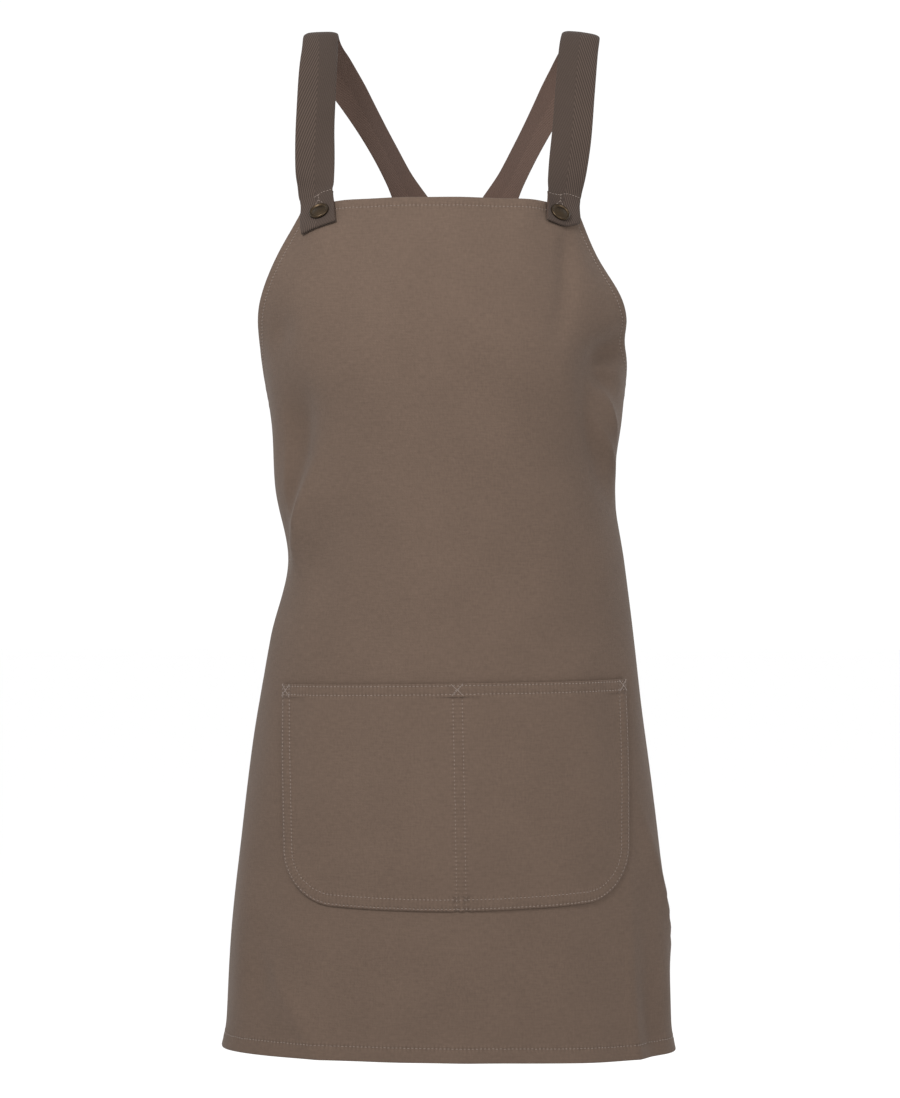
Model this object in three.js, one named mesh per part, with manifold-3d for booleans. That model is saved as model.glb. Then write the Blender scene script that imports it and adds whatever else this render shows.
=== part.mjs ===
import * as THREE from 'three';
import { mergeVertices } from 'three/addons/utils/BufferGeometryUtils.js';
import Module from 'manifold-3d';

const wasm = await Module();
wasm.setup();

// A cross back apron in its worn form. Millimetres and degrees. +Z is up and the front faces -Y.
// The origin lies between the tops of the two shoulder straps.

// Cloth panel, as it is cut
const APRON_LENGTH = 702;
const HEM_WIDTH = 650;
const EAR_WIDTH = 570;
const EAR_DROP = 265;
const BIB_WIDTH = 242;
const ARM_BEND = 0.05;
const CLOTH = 1.2;

// The form that the cloth takes when it is worn
const WORN_BREADTH = 374;
const WORN_DEPTH = 230;
const BIB_DROP = 146;
const FOLD_DEPTH = 10;
const LIP_FLARE = 2.5;
const LIP_HEIGHT = 25;
const RIGHT_SAG = 4;

// Pocket
const POCKET_TOP_WIDTH = 313;
const POCKET_BASE_WIDTH = 296;
const POCKET_HEIGHT = 182;
const POCKET_DROP = 398.5;
const POCKET_SHIFT = 1.5;
const POCKET_CORNER = 42;
const POCKET_TILT = 1;
const POCKET_BAND = 10.5;
const POCKET_GAP = 0.8;
const BAND_RAISE = 0.9;
const BAND_STEP = 1.2;

// Straps
const STRAP_WIDTH = 33;
const WEBBING = 1.4;
const STRAP_TURN = 35;
const STRAP_BELOW_STUD = 15;
const SHOULDER_WIDTH = 218;
const FRONT_LEAN = { left: 11, right: 6 };
const FRONT_SHIFT = { left: 2.5, right: 4 };
const FRONT_TRIM = { left: 0, right: 3 };
const FRONT_POINT = { left: 0.05, right: 0.2 };
const BACK_DEPTH = 97;
const CROSS_DROP = 202;
const CROSS_SHIFT = 4.8;

// Studs
const STUD_FROM_TOP = 13;
const STUD_FROM_SIDE = 18.5;
const EAR_STUD_FROM_TOP = 18;
const EAR_STUD_FROM_SIDE = 22;
const CAP_DIAMETER = 17;
const CAP_RIM_WIDTH = 1.8;
const CAP_RIM_HEIGHT = 1.7;
const CAP_DOME_HEIGHT = 2.1;
const CAP_GROOVE_HEIGHT = 1;
const POST_DIAMETER = 3.6;
const RING_DIAMETER = 12;
const RING_HEIGHT = 1.5;

// Clearances
const LAY_GAP = 0.85;
const CROSS_GAP = 0.9;
const POST_GAP = 0.3;
const CAP_GAP = 0.5;
const RING_GAP = 0.6;

// Facet counts
const PANEL_COLUMNS = 40;
const ARMHOLE_ROWS = 13;
const SKIRT_ROWS = 21;
const POCKET_COLUMNS = 24;
const POCKET_ROWS = 7;
const CORNER_ROWS = 5;
const SECTION_STEPS = 96;
const STUD_SIDES = 14;
const STRAP_STEP = 13;

// Level sections of the worn form, from the bib's top (fall 0) to the hem (fall 1).
// left, right and centre are shares of WORN_BREADTH; front, side and back of WORN_DEPTH.
const SECTIONS = [
  { fall: 0.00, left: 0.411, right: 0.367, centre: -0.020, front: -0.425, side: 0.00, back: 0.40 },
  { fall: 0.06, left: 0.452, right: 0.378, centre: -0.020, front: -0.490, side: -0.01, back: 0.42 },
  { fall: 0.12, left: 0.459, right: 0.414, centre: -0.018, front: -0.545, side: -0.03, back: 0.42 },
  { fall: 0.18, left: 0.424, right: 0.398, centre: -0.015, front: -0.570, side: -0.05, back: 0.41 },
  { fall: 0.26, left: 0.399, right: 0.382, centre: -0.008, front: -0.560, side: -0.06, back: 0.40 },
  { fall: 0.34, left: 0.388, right: 0.362, centre: 0.000, front: -0.540, side: -0.06, back: 0.38 },
  { fall: 0.43, left: 0.358, right: 0.387, centre: 0.006, front: -0.530, side: -0.05, back: 0.37 },
  { fall: 0.52, left: 0.400, right: 0.409, centre: 0.010, front: -0.535, side: -0.05, back: 0.40 },
  { fall: 0.66, left: 0.446, right: 0.442, centre: 0.012, front: -0.545, side: -0.06, back: 0.45 },
  { fall: 0.83, left: 0.489, right: 0.474, centre: 0.012, front: -0.555, side: -0.07, back: 0.50 },
  { fall: 1.00, left: 0.506, right: 0.492, centre: 0.012, front: -0.565, side: -0.09, back: 0.55 },
];

// Folds and dents. from and to are falls. start and end are places across there, as signed shares
// of the cloth's half width. breadth is a share of EAR_WIDTH, depth of FOLD_DEPTH, ridges positive.
const FOLDS = [
  { from: 0.46, to: 1.10, start: 0.00, end: 0.00, breadth: 0.040, depth: 0.20 },
  { from: 0.31, to: 0.50, start: -0.42, end: -0.58, breadth: 0.040, depth: 0.42 },
  { from: 0.22, to: 0.38, start: 0.57, end: 0.68, breadth: 0.036, depth: 0.36 },
  { from: 0.11, to: 0.26, start: 0.76, end: 0.66, breadth: 0.060, depth: -0.60 },
  { from: 0.20, to: 0.38, start: -0.60, end: -0.50, breadth: 0.070, depth: -0.42 },
  { from: 0.21, to: 0.36, start: 0.46, end: 0.54, breadth: 0.060, depth: -0.46 },
  { from: 0.00, to: 0.22, start: 0.72, end: 0.42, breadth: 0.036, depth: -0.34 },
  { from: 0.58, to: 1.15, start: -0.60, end: -0.55, breadth: 0.075, depth: 0.30 },
  { from: 0.58, to: 1.15, start: -0.76, end: -0.71, breadth: 0.060, depth: -0.45 },
  { from: 0.66, to: 1.15, start: 0.50, end: 0.48, breadth: 0.060, depth: -0.24 },
  { from: 0.60, to: 1.15, start: 0.66, end: 0.64, breadth: 0.055, depth: 0.42 },
  { from: 0.60, to: 1.15, start: 0.80, end: 0.76, breadth: 0.055, depth: -0.40 },
  { from: -0.12, to: 0.13, start: -1.00, end: -1.00, breadth: 0.050, depth: -0.45 },
  { from: -0.12, to: 0.13, start: 1.00, end: 1.00, breadth: 0.050, depth: -0.60 },
];

// The front leg of a strap, from the bib's edge (rise 0) to the shoulder (rise 1).
// ahead is a share of the bib corner's depth; the bows are shares of SHOULDER_WIDTH, outwards.
const FRONT_LEG = [
  { rise: 0.10, ahead: 0.97, bowLeft: 0.004, bowRight: 0.002 },
  { rise: 0.32, ahead: 0.87, bowLeft: 0.004, bowRight: 0.004 },
  { rise: 0.60, ahead: 0.66, bowLeft: 0.000, bowRight: 0.000 },
  { rise: 0.86, ahead: 0.35, bowLeft: -0.002, bowRight: -0.002 },
];

// The back leg, from the shoulder down to the crossing. drop is a share of CROSS_DROP, reach of
// BACK_DEPTH, and left and right the shares of the way over to the crossing.
const BACK_LEG = [
  { drop: 0.10, reach: 0.36, left: 0.09, right: 0.06 },
  { drop: 0.24, reach: 0.60, left: 0.24, right: 0.20 },
  { drop: 0.44, reach: 0.80, left: 0.44, right: 0.40 },
  { drop: 0.62, reach: 0.91, left: 0.62, right: 0.58 },
];

// From the crossing to the ear, as shares of the way, with the swell over the back as a share of
// BACK_DEPTH.
const LOWER_LEG = [
  { along: 0.22, swell: 0.035 },
  { along: 0.52, swell: 0.070 },
  { along: 0.80, swell: 0.050 },
];

// How a strap is rolled and creased along its length, in degrees. leg is 0 at the bib's edge,
// 1 at the shoulder, 2 at the crossing and 3 at the ear.
const STRAP_TURNS = [
  { leg: 0.00, rollLeft: 0, rollRight: 0, creaseLeft: 0, creaseRight: 0 },
  { leg: 0.50, rollLeft: 0, rollRight: 6, creaseLeft: 38, creaseRight: 44 },
  { leg: 0.95, rollLeft: 0, rollRight: 8, creaseLeft: 16, creaseRight: 20 },
  { leg: 1.25, rollLeft: 46, rollRight: 47, creaseLeft: 0, creaseRight: 0 },
  { leg: 1.60, rollLeft: 52, rollRight: 50, creaseLeft: 0, creaseRight: 0 },
  { leg: 1.82, rollLeft: 3, rollRight: 3, creaseLeft: 0, creaseRight: 0 },
  { leg: 2.00, rollLeft: 0, rollRight: 0, creaseLeft: 0, creaseRight: 0 },
  { leg: 3.00, rollLeft: 0, rollRight: 0, creaseLeft: 0, creaseRight: 0 },
];

// The shares of the half width at which a strap's section has its points
const STRAP_SECTION = [1, 0.5, 0, -0.5, -1];

const lerp = THREE.MathUtils.lerp;
const radians = THREE.MathUtils.degToRad;
const smooth = (value) => THREE.MathUtils.smoothstep(value, 0, 1);

// A smooth curve through one column of a table, read at a place in its key column
function tableValue(table, key, column, at) {
  const last = table.length - 1;
  let row = 0;
  while (row < last - 1 && table[row + 1][key] <= at) row += 1;
  const slope = (index) => {
    const before = table[Math.max(index - 1, 0)];
    const after = table[Math.min(index + 1, last)];
    return (after[column] - before[column]) / (after[key] - before[key]);
  };
  const low = table[row];
  const high = table[row + 1];
  const span = high[key] - low[key];
  const s = (at - low[key]) / span;
  const rise = (2 * s ** 3 - 3 * s ** 2 + 1) * low[column] + (3 * s ** 2 - 2 * s ** 3) * high[column];
  return rise + (s ** 3 - 2 * s ** 2 + s) * span * slope(row) + (s ** 3 - s ** 2) * span * slope(row + 1);
}

const sectionValue = (column, fall) => tableValue(SECTIONS, 'fall', column, fall);

// Heights down the centre front, where the cloth keeps its cut length
const HEIGHT_STEPS = 200;
const heights = [-BIB_DROP];
for (let step = 1; step <= HEIGHT_STEPS; step += 1) {
  const before = sectionValue('front', (step - 1) / HEIGHT_STEPS);
  const here = sectionValue('front', step / HEIGHT_STEPS);
  const forward = (here - before) * WORN_DEPTH;
  const run = APRON_LENGTH / HEIGHT_STEPS;
  heights.push(heights[step - 1] - Math.sqrt(Math.max(run * run - forward * forward, 0)));
}

function heightAt(down) {
  const place = (down / APRON_LENGTH) * HEIGHT_STEPS;
  const step = THREE.MathUtils.clamp(Math.floor(place), 0, HEIGHT_STEPS - 1);
  return lerp(heights[step], heights[step + 1], place - step);
}

// Half the cut width of the cloth, at a distance down from the bib's top
function halfWidth(down) {
  if (down < EAR_DROP) {
    const s = Math.max(down, 0) / EAR_DROP;
    return lerp(BIB_WIDTH / 2, EAR_WIDTH / 2, (1 - ARM_BEND) * s + ARM_BEND * s * s);
  }
  return lerp(EAR_WIDTH / 2, HEM_WIDTH / 2, (down - EAR_DROP) / (APRON_LENGTH - EAR_DROP));
}

// One side of a level section: quarter ellipses from the centre front to the centre back
const sectionCache = new Map();
function sectionSide(side, down) {
  const key = `${side} ${down.toFixed(5)}`;
  if (sectionCache.has(key)) return sectionCache.get(key);
  const fall = down / APRON_LENGTH;
  const centre = sectionValue('centre', fall) * WORN_BREADTH;
  const edge = side < 0 ? -sectionValue('left', fall) : sectionValue('right', fall);
  const reach = Math.abs(edge * WORN_BREADTH - centre);
  const front = sectionValue('front', fall) * WORN_DEPTH;
  const middle = sectionValue('side', fall) * WORN_DEPTH;
  const back = sectionValue('back', fall) * WORN_DEPTH;
  const points = [];
  let length = 0;
  for (let step = 0; step <= SECTION_STEPS; step += 1) {
    const angle = (Math.PI * step) / SECTION_STEPS;
    const x = centre + side * reach * Math.sin(angle);
    const depth = Math.cos(angle) > 0 ? front - middle : middle - back;
    const y = middle + depth * Math.cos(angle);
    if (step > 0) length += Math.hypot(x - points[step - 1].x, y - points[step - 1].y);
    points.push({ x, y, length });
  }
  sectionCache.set(key, points);
  return points;
}

// A place on the smooth worn form. across is measured along the cloth from its centre line.
function bodyPoint(across, down) {
  const points = sectionSide(across < 0 ? -1 : 1, down);
  const length = Math.abs(across);
  let step = 1;
  while (step < SECTION_STEPS && points[step].length < length) step += 1;
  const low = points[step - 1];
  const high = points[step];
  const share = (length - low.length) / (high.length - low.length);
  const sag = RIGHT_SAG * (down / APRON_LENGTH) ** 2 * smooth((4 * across) / HEM_WIDTH);
  return new THREE.Vector3(lerp(low.x, high.x, share), lerp(low.y, high.y, share), heightAt(down) - sag);
}

const NORMAL_REACH = 5;
function bodyNormal(across, down) {
  const right = bodyPoint(across + NORMAL_REACH, down).sub(bodyPoint(across - NORMAL_REACH, down));
  const lower = bodyPoint(across, down + NORMAL_REACH).sub(bodyPoint(across, down - NORMAL_REACH));
  return lower.cross(right).normalize();
}

// How far the folds, dents and the flared hem lift the cloth off the smooth form
function foldHeight(across, down) {
  const fall = down / APRON_LENGTH;
  let height = 0;
  for (const fold of FOLDS) {
    const share = (fall - fold.from) / (fold.to - fold.from);
    if (share <= 0 || share >= 1) continue;
    const middle = lerp(fold.start, fold.end, share) * halfWidth(down);
    const aside = (across - middle) / (fold.breadth * EAR_WIDTH);
    height += fold.depth * FOLD_DEPTH * Math.sin(Math.PI * share) ** 2 * Math.exp(-aside * aside);
  }
  const lip = Math.max(0, down - APRON_LENGTH + LIP_HEIGHT) / LIP_HEIGHT;
  return height + LIP_FLARE * lip * lip;
}

function clothPoint(across, down, lift) {
  const height = foldHeight(across, down) + lift;
  return bodyPoint(across, down).addScaledVector(bodyNormal(across, down), height);
}

function clothNormal(across, down) {
  const [left, right] = [-NORMAL_REACH, NORMAL_REACH].map((step) => clothPoint(across + step, down, 0));
  const [upper, lower] = [-NORMAL_REACH, NORMAL_REACH].map((step) => clothPoint(across, down + step, 0));
  return lower.sub(upper).cross(right.sub(left)).normalize();
}

// A closed wall from a grid of outer and inner points; point(column, row, face), face 1 inside
function wallSolid(columns, rows, point) {
  const positions = [];
  const indices = [];
  const index = (column, row, face) => (face * (rows + 1) + row) * (columns + 1) + column;
  for (let face = 0; face < 2; face += 1) {
    for (let row = 0; row <= rows; row += 1) {
      for (let column = 0; column <= columns; column += 1) {
        positions.push(...point(column, row, face).toArray());
      }
    }
  }
  for (let row = 0; row < rows; row += 1) {
    for (let column = 0; column < columns; column += 1) {
      const [a, b] = [index(column, row, 0), index(column + 1, row, 0)];
      const [c, d] = [index(column, row + 1, 0), index(column + 1, row + 1, 0)];
      const inner = (rows + 1) * (columns + 1);
      indices.push(a, c, b, b, c, d);
      indices.push(a + inner, b + inner, c + inner, b + inner, d + inner, c + inner);
    }
  }
  const rim = [];
  for (let column = 0; column < columns; column += 1) rim.push([column, 0]);
  for (let row = 0; row < rows; row += 1) rim.push([columns, row]);
  for (let column = columns; column > 0; column -= 1) rim.push([column, rows]);
  for (let row = rows; row > 0; row -= 1) rim.push([0, row]);
  rim.forEach(([column, row], place) => {
    const [nextColumn, nextRow] = rim[(place + 1) % rim.length];
    const [p, q] = [index(column, row, 0), index(nextColumn, nextRow, 0)];
    const [pIn, qIn] = [index(column, row, 1), index(nextColumn, nextRow, 1)];
    indices.push(p, q, pIn, q, qIn, pIn);
  });
  const geometry = new THREE.BufferGeometry();
  geometry.setAttribute('position', new THREE.Float32BufferAttribute(positions, 3));
  geometry.setIndex(indices);
  return geometry;
}

// A turned solid from its profile of [radius, height] pairs, with its axis along +Z
function turnedSolid(profile) {
  const points = profile.map(([radius, height]) => new THREE.Vector2(radius, height));
  const lathe = new THREE.LatheGeometry(points, STUD_SIDES).rotateX(Math.PI / 2);
  lathe.deleteAttribute('normal');
  lathe.deleteAttribute('uv');
  const merged = mergeVertices(lathe, 1e-4);
  const corners = merged.index.array;
  const kept = [];
  for (let place = 0; place < corners.length; place += 3) {
    const [a, b, c] = corners.slice(place, place + 3);
    if (a !== b && b !== c && c !== a) kept.push(a, b, c);
  }
  merged.setIndex(kept);
  return merged;
}

function toManifold(geometry) {
  const merged = mergeVertices(geometry, 1e-4);
  const vertProperties = new Float32Array(merged.attributes.position.array);
  const triVerts = new Uint32Array(merged.index.array);
  return new wasm.Manifold(new wasm.Mesh({ numProp: 3, vertProperties, triVerts }));
}

function fromManifold(solid) {
  const mesh = solid.getMesh();
  const geometry = new THREE.BufferGeometry();
  geometry.setAttribute('position', new THREE.BufferAttribute(mesh.vertProperties, 3));
  geometry.setIndex(new THREE.BufferAttribute(mesh.triVerts, 1));
  return geometry;
}

// A stud's seat on the cloth. toward is the sense of across that runs along the strap's section,
// and shift how far the strap's middle lies off the stud that way.
function studSeat(across, down, lean, toward, shift) {
  const angle = radians(lean);
  const up = { across: Math.sin(angle), down: -Math.cos(angle) };
  const aside = { across: toward * Math.cos(angle), down: toward * Math.sin(angle) };
  return { across, down, up, aside, shift };
}

// A place on the cloth under a strap's end: along runs up the strap from its very end
function seatPlace(seat, along, aside) {
  const up = along - STRAP_BELOW_STUD;
  const over = aside + seat.shift;
  return {
    across: seat.across + up * seat.up.across + over * seat.aside.across,
    down: seat.down + up * seat.up.down + over * seat.aside.down,
  };
}

function frontSeat(side) {
  const name = side < 0 ? 'left' : 'right';
  const across = side * (BIB_WIDTH / 2 - STUD_FROM_SIDE);
  return studSeat(across, STUD_FROM_TOP, side * FRONT_LEAN[name], 1, side * FRONT_SHIFT[name]);
}

// The rear strap end lies on the ear along the straight way to the crossing
function rearSeat(side) {
  const across = side * (EAR_WIDTH / 2 - EAR_STUD_FROM_SIDE);
  const down = EAR_DROP + EAR_STUD_FROM_TOP;
  const stud = bodyPoint(across, down);
  const over = Math.hypot(stud.x - CROSS_SHIFT, stud.y - BACK_DEPTH);
  const lean = THREE.MathUtils.radToDeg(Math.atan2(over, -CROSS_DROP - stud.z));
  return studSeat(across, down, side * lean, -1, 0);
}

const STRAP_LIFT = LAY_GAP + 1.5 * WEBBING;

function seatPoint(seat, along, aside, lift) {
  const place = seatPlace(seat, along, aside);
  return clothPoint(place.across, place.down, lift);
}

// The length of a strap's end that lies on the cloth, until both its edges have passed over
const LAY_STEP = 1;
const LAY_SPARE = 6;
function layLength(seat) {
  const onCloth = (along, share) => {
    const place = seatPlace(seat, along, (share * STRAP_WIDTH) / 2);
    return place.down > 0 && Math.abs(place.across) < halfWidth(place.down);
  };
  let along = STRAP_BELOW_STUD;
  while (STRAP_SECTION.some((share) => onCloth(along, share))) along += LAY_STEP;
  return along + LAY_SPARE;
}

// The middle line of a strap, from its front end over the shoulder to its rear end.
// layer is 1 for the strap that passes outside at the crossing and -1 for the other.
function strapLine(side, front, rear, layer) {
  const bow = side < 0 ? 'bowLeft' : 'bowRight';
  const lay = layLength(front);
  const rearLay = layLength(rear);
  const points = [0, 0.5, 1].map((share) => seatPoint(front, share * lay, 0, STRAP_LIFT));
  const edge = points[points.length - 1];
  const shoulder = new THREE.Vector3((side * SHOULDER_WIDTH) / 2, 0, 0);
  for (const row of FRONT_LEG) {
    const x = lerp(edge.x, shoulder.x, row.rise) + side * row[bow] * SHOULDER_WIDTH;
    points.push(new THREE.Vector3(x, edge.y * row.ahead, lerp(edge.z, 0, row.rise)));
  }
  points.push(shoulder);
  const lift = (layer * (WEBBING + CROSS_GAP)) / 2;
  for (const row of BACK_LEG) {
    const x = lerp(shoulder.x, CROSS_SHIFT, row[side < 0 ? 'left' : 'right']);
    points.push(new THREE.Vector3(x, BACK_DEPTH * row.reach + lift * row.drop, -CROSS_DROP * row.drop));
  }
  const crossing = new THREE.Vector3(CROSS_SHIFT, BACK_DEPTH + lift, -CROSS_DROP);
  points.push(crossing);
  const ear = seatPoint(rear, rearLay, 0, STRAP_LIFT);
  for (const row of LOWER_LEG) {
    const point = crossing.clone().lerp(ear, row.along);
    point.y += row.swell * BACK_DEPTH;
    points.push(point);
  }
  points.push(ear);
  points.push(seatPoint(rear, rearLay / 2, 0, STRAP_LIFT));
  points.push(seatPoint(rear, 0, 0, STRAP_LIFT));
  const line = new THREE.CatmullRomCurve3(points, false, 'centripetal');
  line.arcLengthDivisions = 600;
  return line;
}

// The stations along a strap, with pairs of close ones where the folded-under end stops
const TURN_STEP = 0.8;
function strapStations(length) {
  const places = [0, STRAP_BELOW_STUD / 2, STRAP_BELOW_STUD, (STRAP_BELOW_STUD + STRAP_TURN) / 2];
  const ends = [...places, STRAP_TURN, STRAP_TURN + TURN_STEP];
  const free = length - 2 * (STRAP_TURN + TURN_STEP);
  const steps = Math.round(free / STRAP_STEP);
  const stations = [...ends];
  for (let step = 1; step < steps; step += 1) {
    stations.push(STRAP_TURN + TURN_STEP + (free * step) / steps);
  }
  return [...stations, ...ends.reverse().map((place) => length - place)];
}

// The place along a line that lies nearest to a point
const SEARCH_STEPS = 400;
function placeNear(line, target) {
  const points = line.getSpacedPoints(SEARCH_STEPS);
  const distances = points.map((point) => point.distanceTo(target));
  return (distances.indexOf(Math.min(...distances)) / SEARCH_STEPS) * line.getLength();
}

// How much shorter a strap's front end is at a place across it, with its corners drawn back
function frontCut(side, aside) {
  const name = side < 0 ? 'left' : 'right';
  return FRONT_TRIM[name] + FRONT_POINT[name] * Math.abs(aside);
}

const FRONT_EASE = 70;
const REAR_EASE = 150;
const CURL_EASE = 25;
function strapSolid(side, front, rear, layer) {
  const line = strapLine(side, front, rear, layer);
  const length = line.getLength();
  const stations = strapStations(length);
  const lay = layLength(front);
  const rearLay = layLength(rear);
  const frontNormal = clothNormal(front.across, front.down);
  const rearNormal = clothNormal(rear.across, rear.down);
  const name = side < 0 ? 'Left' : 'Right';
  const shoulder = placeNear(line, new THREE.Vector3((side * SHOULDER_WIDTH) / 2, 0, 0));
  const crossing = placeNear(line, new THREE.Vector3(CROSS_SHIFT, BACK_DEPTH, -CROSS_DROP));
  const landmarks = [lay, shoulder, crossing, length - rearLay];
  const legAt = (station) => {
    const leg = station < shoulder ? 0 : station < crossing ? 1 : 2;
    return leg + (station - landmarks[leg]) / (landmarks[leg + 1] - landmarks[leg]);
  };
  const turn = (column, station) => radians(tableValue(STRAP_TURNS, 'leg', column + name, legAt(station)));
  return wallSolid(STRAP_SECTION.length - 1, stations.length - 1, (column, row, face) => {
    const station = stations[row];
    const fromRear = length - station;
    const doubled = Math.min(station, fromRear) <= STRAP_TURN;
    const inside = doubled ? -1.5 * WEBBING : -0.5 * WEBBING;
    const height = face === 0 ? WEBBING / 2 : inside;
    const aside = (STRAP_SECTION[column] * STRAP_WIDTH) / 2;
    const cut = row === 0 ? frontCut(side, aside) : 0;
    if (station <= lay) return seatPoint(front, station + cut, aside, STRAP_LIFT + height);
    if (fromRear <= rearLay) return seatPoint(rear, fromRear, aside, STRAP_LIFT + height);
    const share = station / length;
    const middle = line.getPointAt(share);
    const along = line.getTangentAt(share);
    const normal = new THREE.Vector3(1, 0, 0).cross(along).normalize();
    const nearFront = 1 - smooth((station - lay) / FRONT_EASE);
    const nearRear = 1 - smooth((fromRear - rearLay) / REAR_EASE);
    normal.multiplyScalar(1 - nearFront - nearRear);
    normal.addScaledVector(frontNormal, nearFront).addScaledVector(rearNormal, nearRear);
    normal.addScaledVector(along, -normal.dot(along)).normalize();
    normal.applyAxisAngle(along, side * turn('roll', station));
    const over = along.clone().cross(normal);
    const fromSeat = Math.min(station - lay, fromRear - rearLay);
    const seat = station < length / 2 ? front : rear;
    const bulge = seatPoint(seat, STRAP_BELOW_STUD, aside, 0).sub(seatPoint(seat, STRAP_BELOW_STUD, 0, 0));
    const curl = bulge.dot(seat === front ? frontNormal : rearNormal) * (1 - smooth(fromSeat / CURL_EASE));
    const inward = Math.max(0, -side * aside);
    const crease = turn('crease', station);
    const drawn = aside + side * inward * (1 - Math.cos(crease));
    const lift = height + curl - inward * Math.sin(crease);
    return middle.addScaledVector(over, drawn).addScaledVector(normal, lift);
  });
}

const STUD_LIFT = LAY_GAP + 2 * WEBBING + CAP_GAP;
const POST_REACH = STUD_LIFT + CLOTH + RING_GAP + RING_HEIGHT;

function capSolid() {
  const radius = CAP_DIAMETER / 2;
  return turnedSolid([
    [0, -POST_REACH],
    [POST_DIAMETER / 2, -POST_REACH],
    [POST_DIAMETER / 2, 0],
    [radius * 0.92, 0],
    [radius, CAP_RIM_HEIGHT * 0.35],
    [radius - CAP_RIM_WIDTH * 0.15, CAP_RIM_HEIGHT * 0.85],
    [radius - CAP_RIM_WIDTH * 0.5, CAP_RIM_HEIGHT],
    [radius - CAP_RIM_WIDTH, CAP_GROOVE_HEIGHT],
    [radius * 0.42, (CAP_GROOVE_HEIGHT + 2 * CAP_DOME_HEIGHT) / 3],
    [0, CAP_DOME_HEIGHT],
  ]);
}

function ringSolid() {
  const inner = POST_DIAMETER / 2 + POST_GAP;
  const outer = RING_DIAMETER / 2;
  return turnedSolid([
    [inner, 0],
    [outer, 0],
    [outer, RING_HEIGHT],
    [inner, RING_HEIGHT],
    [inner, 0],
  ]);
}

// A stud's place: on the cloth's outer face, its axis along the cloth's normal
function studMatrix(seat) {
  const normal = clothNormal(seat.across, seat.down);
  const turn = new THREE.Quaternion().setFromUnitVectors(new THREE.Vector3(0, 0, 1), normal);
  const place = clothPoint(seat.across, seat.down, 0);
  return new THREE.Matrix4().compose(place, turn, new THREE.Vector3(1, 1, 1));
}

// The drill that makes room for a post through the strap and the cloth
function postDrill(seat) {
  const radius = POST_DIAMETER / 2 + POST_GAP;
  const reach = 2 * POST_REACH;
  const drill = turnedSolid([
    [0, -reach],
    [radius, -reach],
    [radius, reach],
    [0, reach],
  ]);
  return toManifold(drill.applyMatrix4(studMatrix(seat)));
}

function drilled(geometry, drills) {
  return fromManifold(drills.reduce((solid, drill) => solid.subtract(drill), toManifold(geometry)));
}

function panelSolid() {
  const rows = [];
  for (let row = 0; row < ARMHOLE_ROWS; row += 1) rows.push((EAR_DROP * row) / ARMHOLE_ROWS);
  for (let row = 0; row <= SKIRT_ROWS; row += 1) {
    rows.push(lerp(EAR_DROP, APRON_LENGTH, row / SKIRT_ROWS));
  }
  return wallSolid(PANEL_COLUMNS, rows.length - 1, (column, row, face) => {
    const across = (2 * (column / PANEL_COLUMNS) - 1) * halfWidth(rows[row]);
    return clothPoint(across, rows[row], face === 0 ? 0 : -CLOTH);
  });
}

// The pocket's cut: rows of its half width, down to the rounded lower corners
function pocketRows() {
  const halfAt = (below) => lerp(POCKET_TOP_WIDTH, POCKET_BASE_WIDTH, below / POCKET_HEIGHT) / 2;
  const rows = [0, POCKET_BAND].map((below) => ({ below, half: halfAt(below), raised: BAND_RAISE }));
  const start = POCKET_BAND + BAND_STEP;
  const straight = POCKET_HEIGHT - POCKET_CORNER;
  for (let row = 0; row < POCKET_ROWS; row += 1) {
    const below = lerp(start, straight, row / POCKET_ROWS);
    rows.push({ below, half: halfAt(below), raised: 0 });
  }
  for (let row = 0; row <= CORNER_ROWS; row += 1) {
    const angle = (Math.PI / 2) * (row / CORNER_ROWS);
    const below = straight + POCKET_CORNER * Math.sin(angle);
    rows.push({ below, half: halfAt(below) - POCKET_CORNER * (1 - Math.cos(angle)), raised: 0 });
  }
  return rows;
}

function pocketSolid() {
  const rows = pocketRows();
  const tilt = radians(POCKET_TILT);
  return wallSolid(POCKET_COLUMNS, rows.length - 1, (column, row, face) => {
    const { below, half, raised } = rows[row];
    const aside = (2 * (column / POCKET_COLUMNS) - 1) * half;
    const across = POCKET_SHIFT + aside * Math.cos(tilt) + below * Math.sin(tilt);
    const down = POCKET_DROP + below * Math.cos(tilt) - aside * Math.sin(tilt);
    return clothPoint(across, down, face === 0 ? POCKET_GAP + CLOTH + raised : POCKET_GAP);
  });
}

const canvas = () => new THREE.MeshStandardMaterial({ color: 0x705f54, roughness: 0.95, metalness: 0 });
const webbing = () => new THREE.MeshStandardMaterial({ color: 0x5a4d45, roughness: 0.85, metalness: 0 });
const brass = () => new THREE.MeshStandardMaterial({ color: 0x6b5637, roughness: 0.4, metalness: 1 });

const apron = new THREE.Group();

function addPiece(name, geometry, material) {
  geometry.computeVertexNormals();
  const mesh = new THREE.Mesh(geometry, material);
  mesh.name = name;
  apron.add(mesh);
  return mesh;
}

const seats = {
  front_left: frontSeat(-1),
  front_right: frontSeat(1),
  rear_left: rearSeat(-1),
  rear_right: rearSeat(1),
};
const drills = {};
for (const [name, seat] of Object.entries(seats)) drills[name] = postDrill(seat);

addPiece('apron_panel', drilled(panelSolid(), Object.values(drills)), canvas());
addPiece('pocket', pocketSolid(), canvas());

// Each strap runs from its own front stud to the stud at the other side's ear
const leftStrap = strapSolid(-1, seats.front_left, seats.rear_right, 1);
addPiece('strap_left', drilled(leftStrap, [drills.front_left, drills.rear_right]), webbing());
const rightStrap = strapSolid(1, seats.front_right, seats.rear_left, -1);
addPiece('strap_right', drilled(rightStrap, [drills.front_right, drills.rear_left]), webbing());

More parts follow.
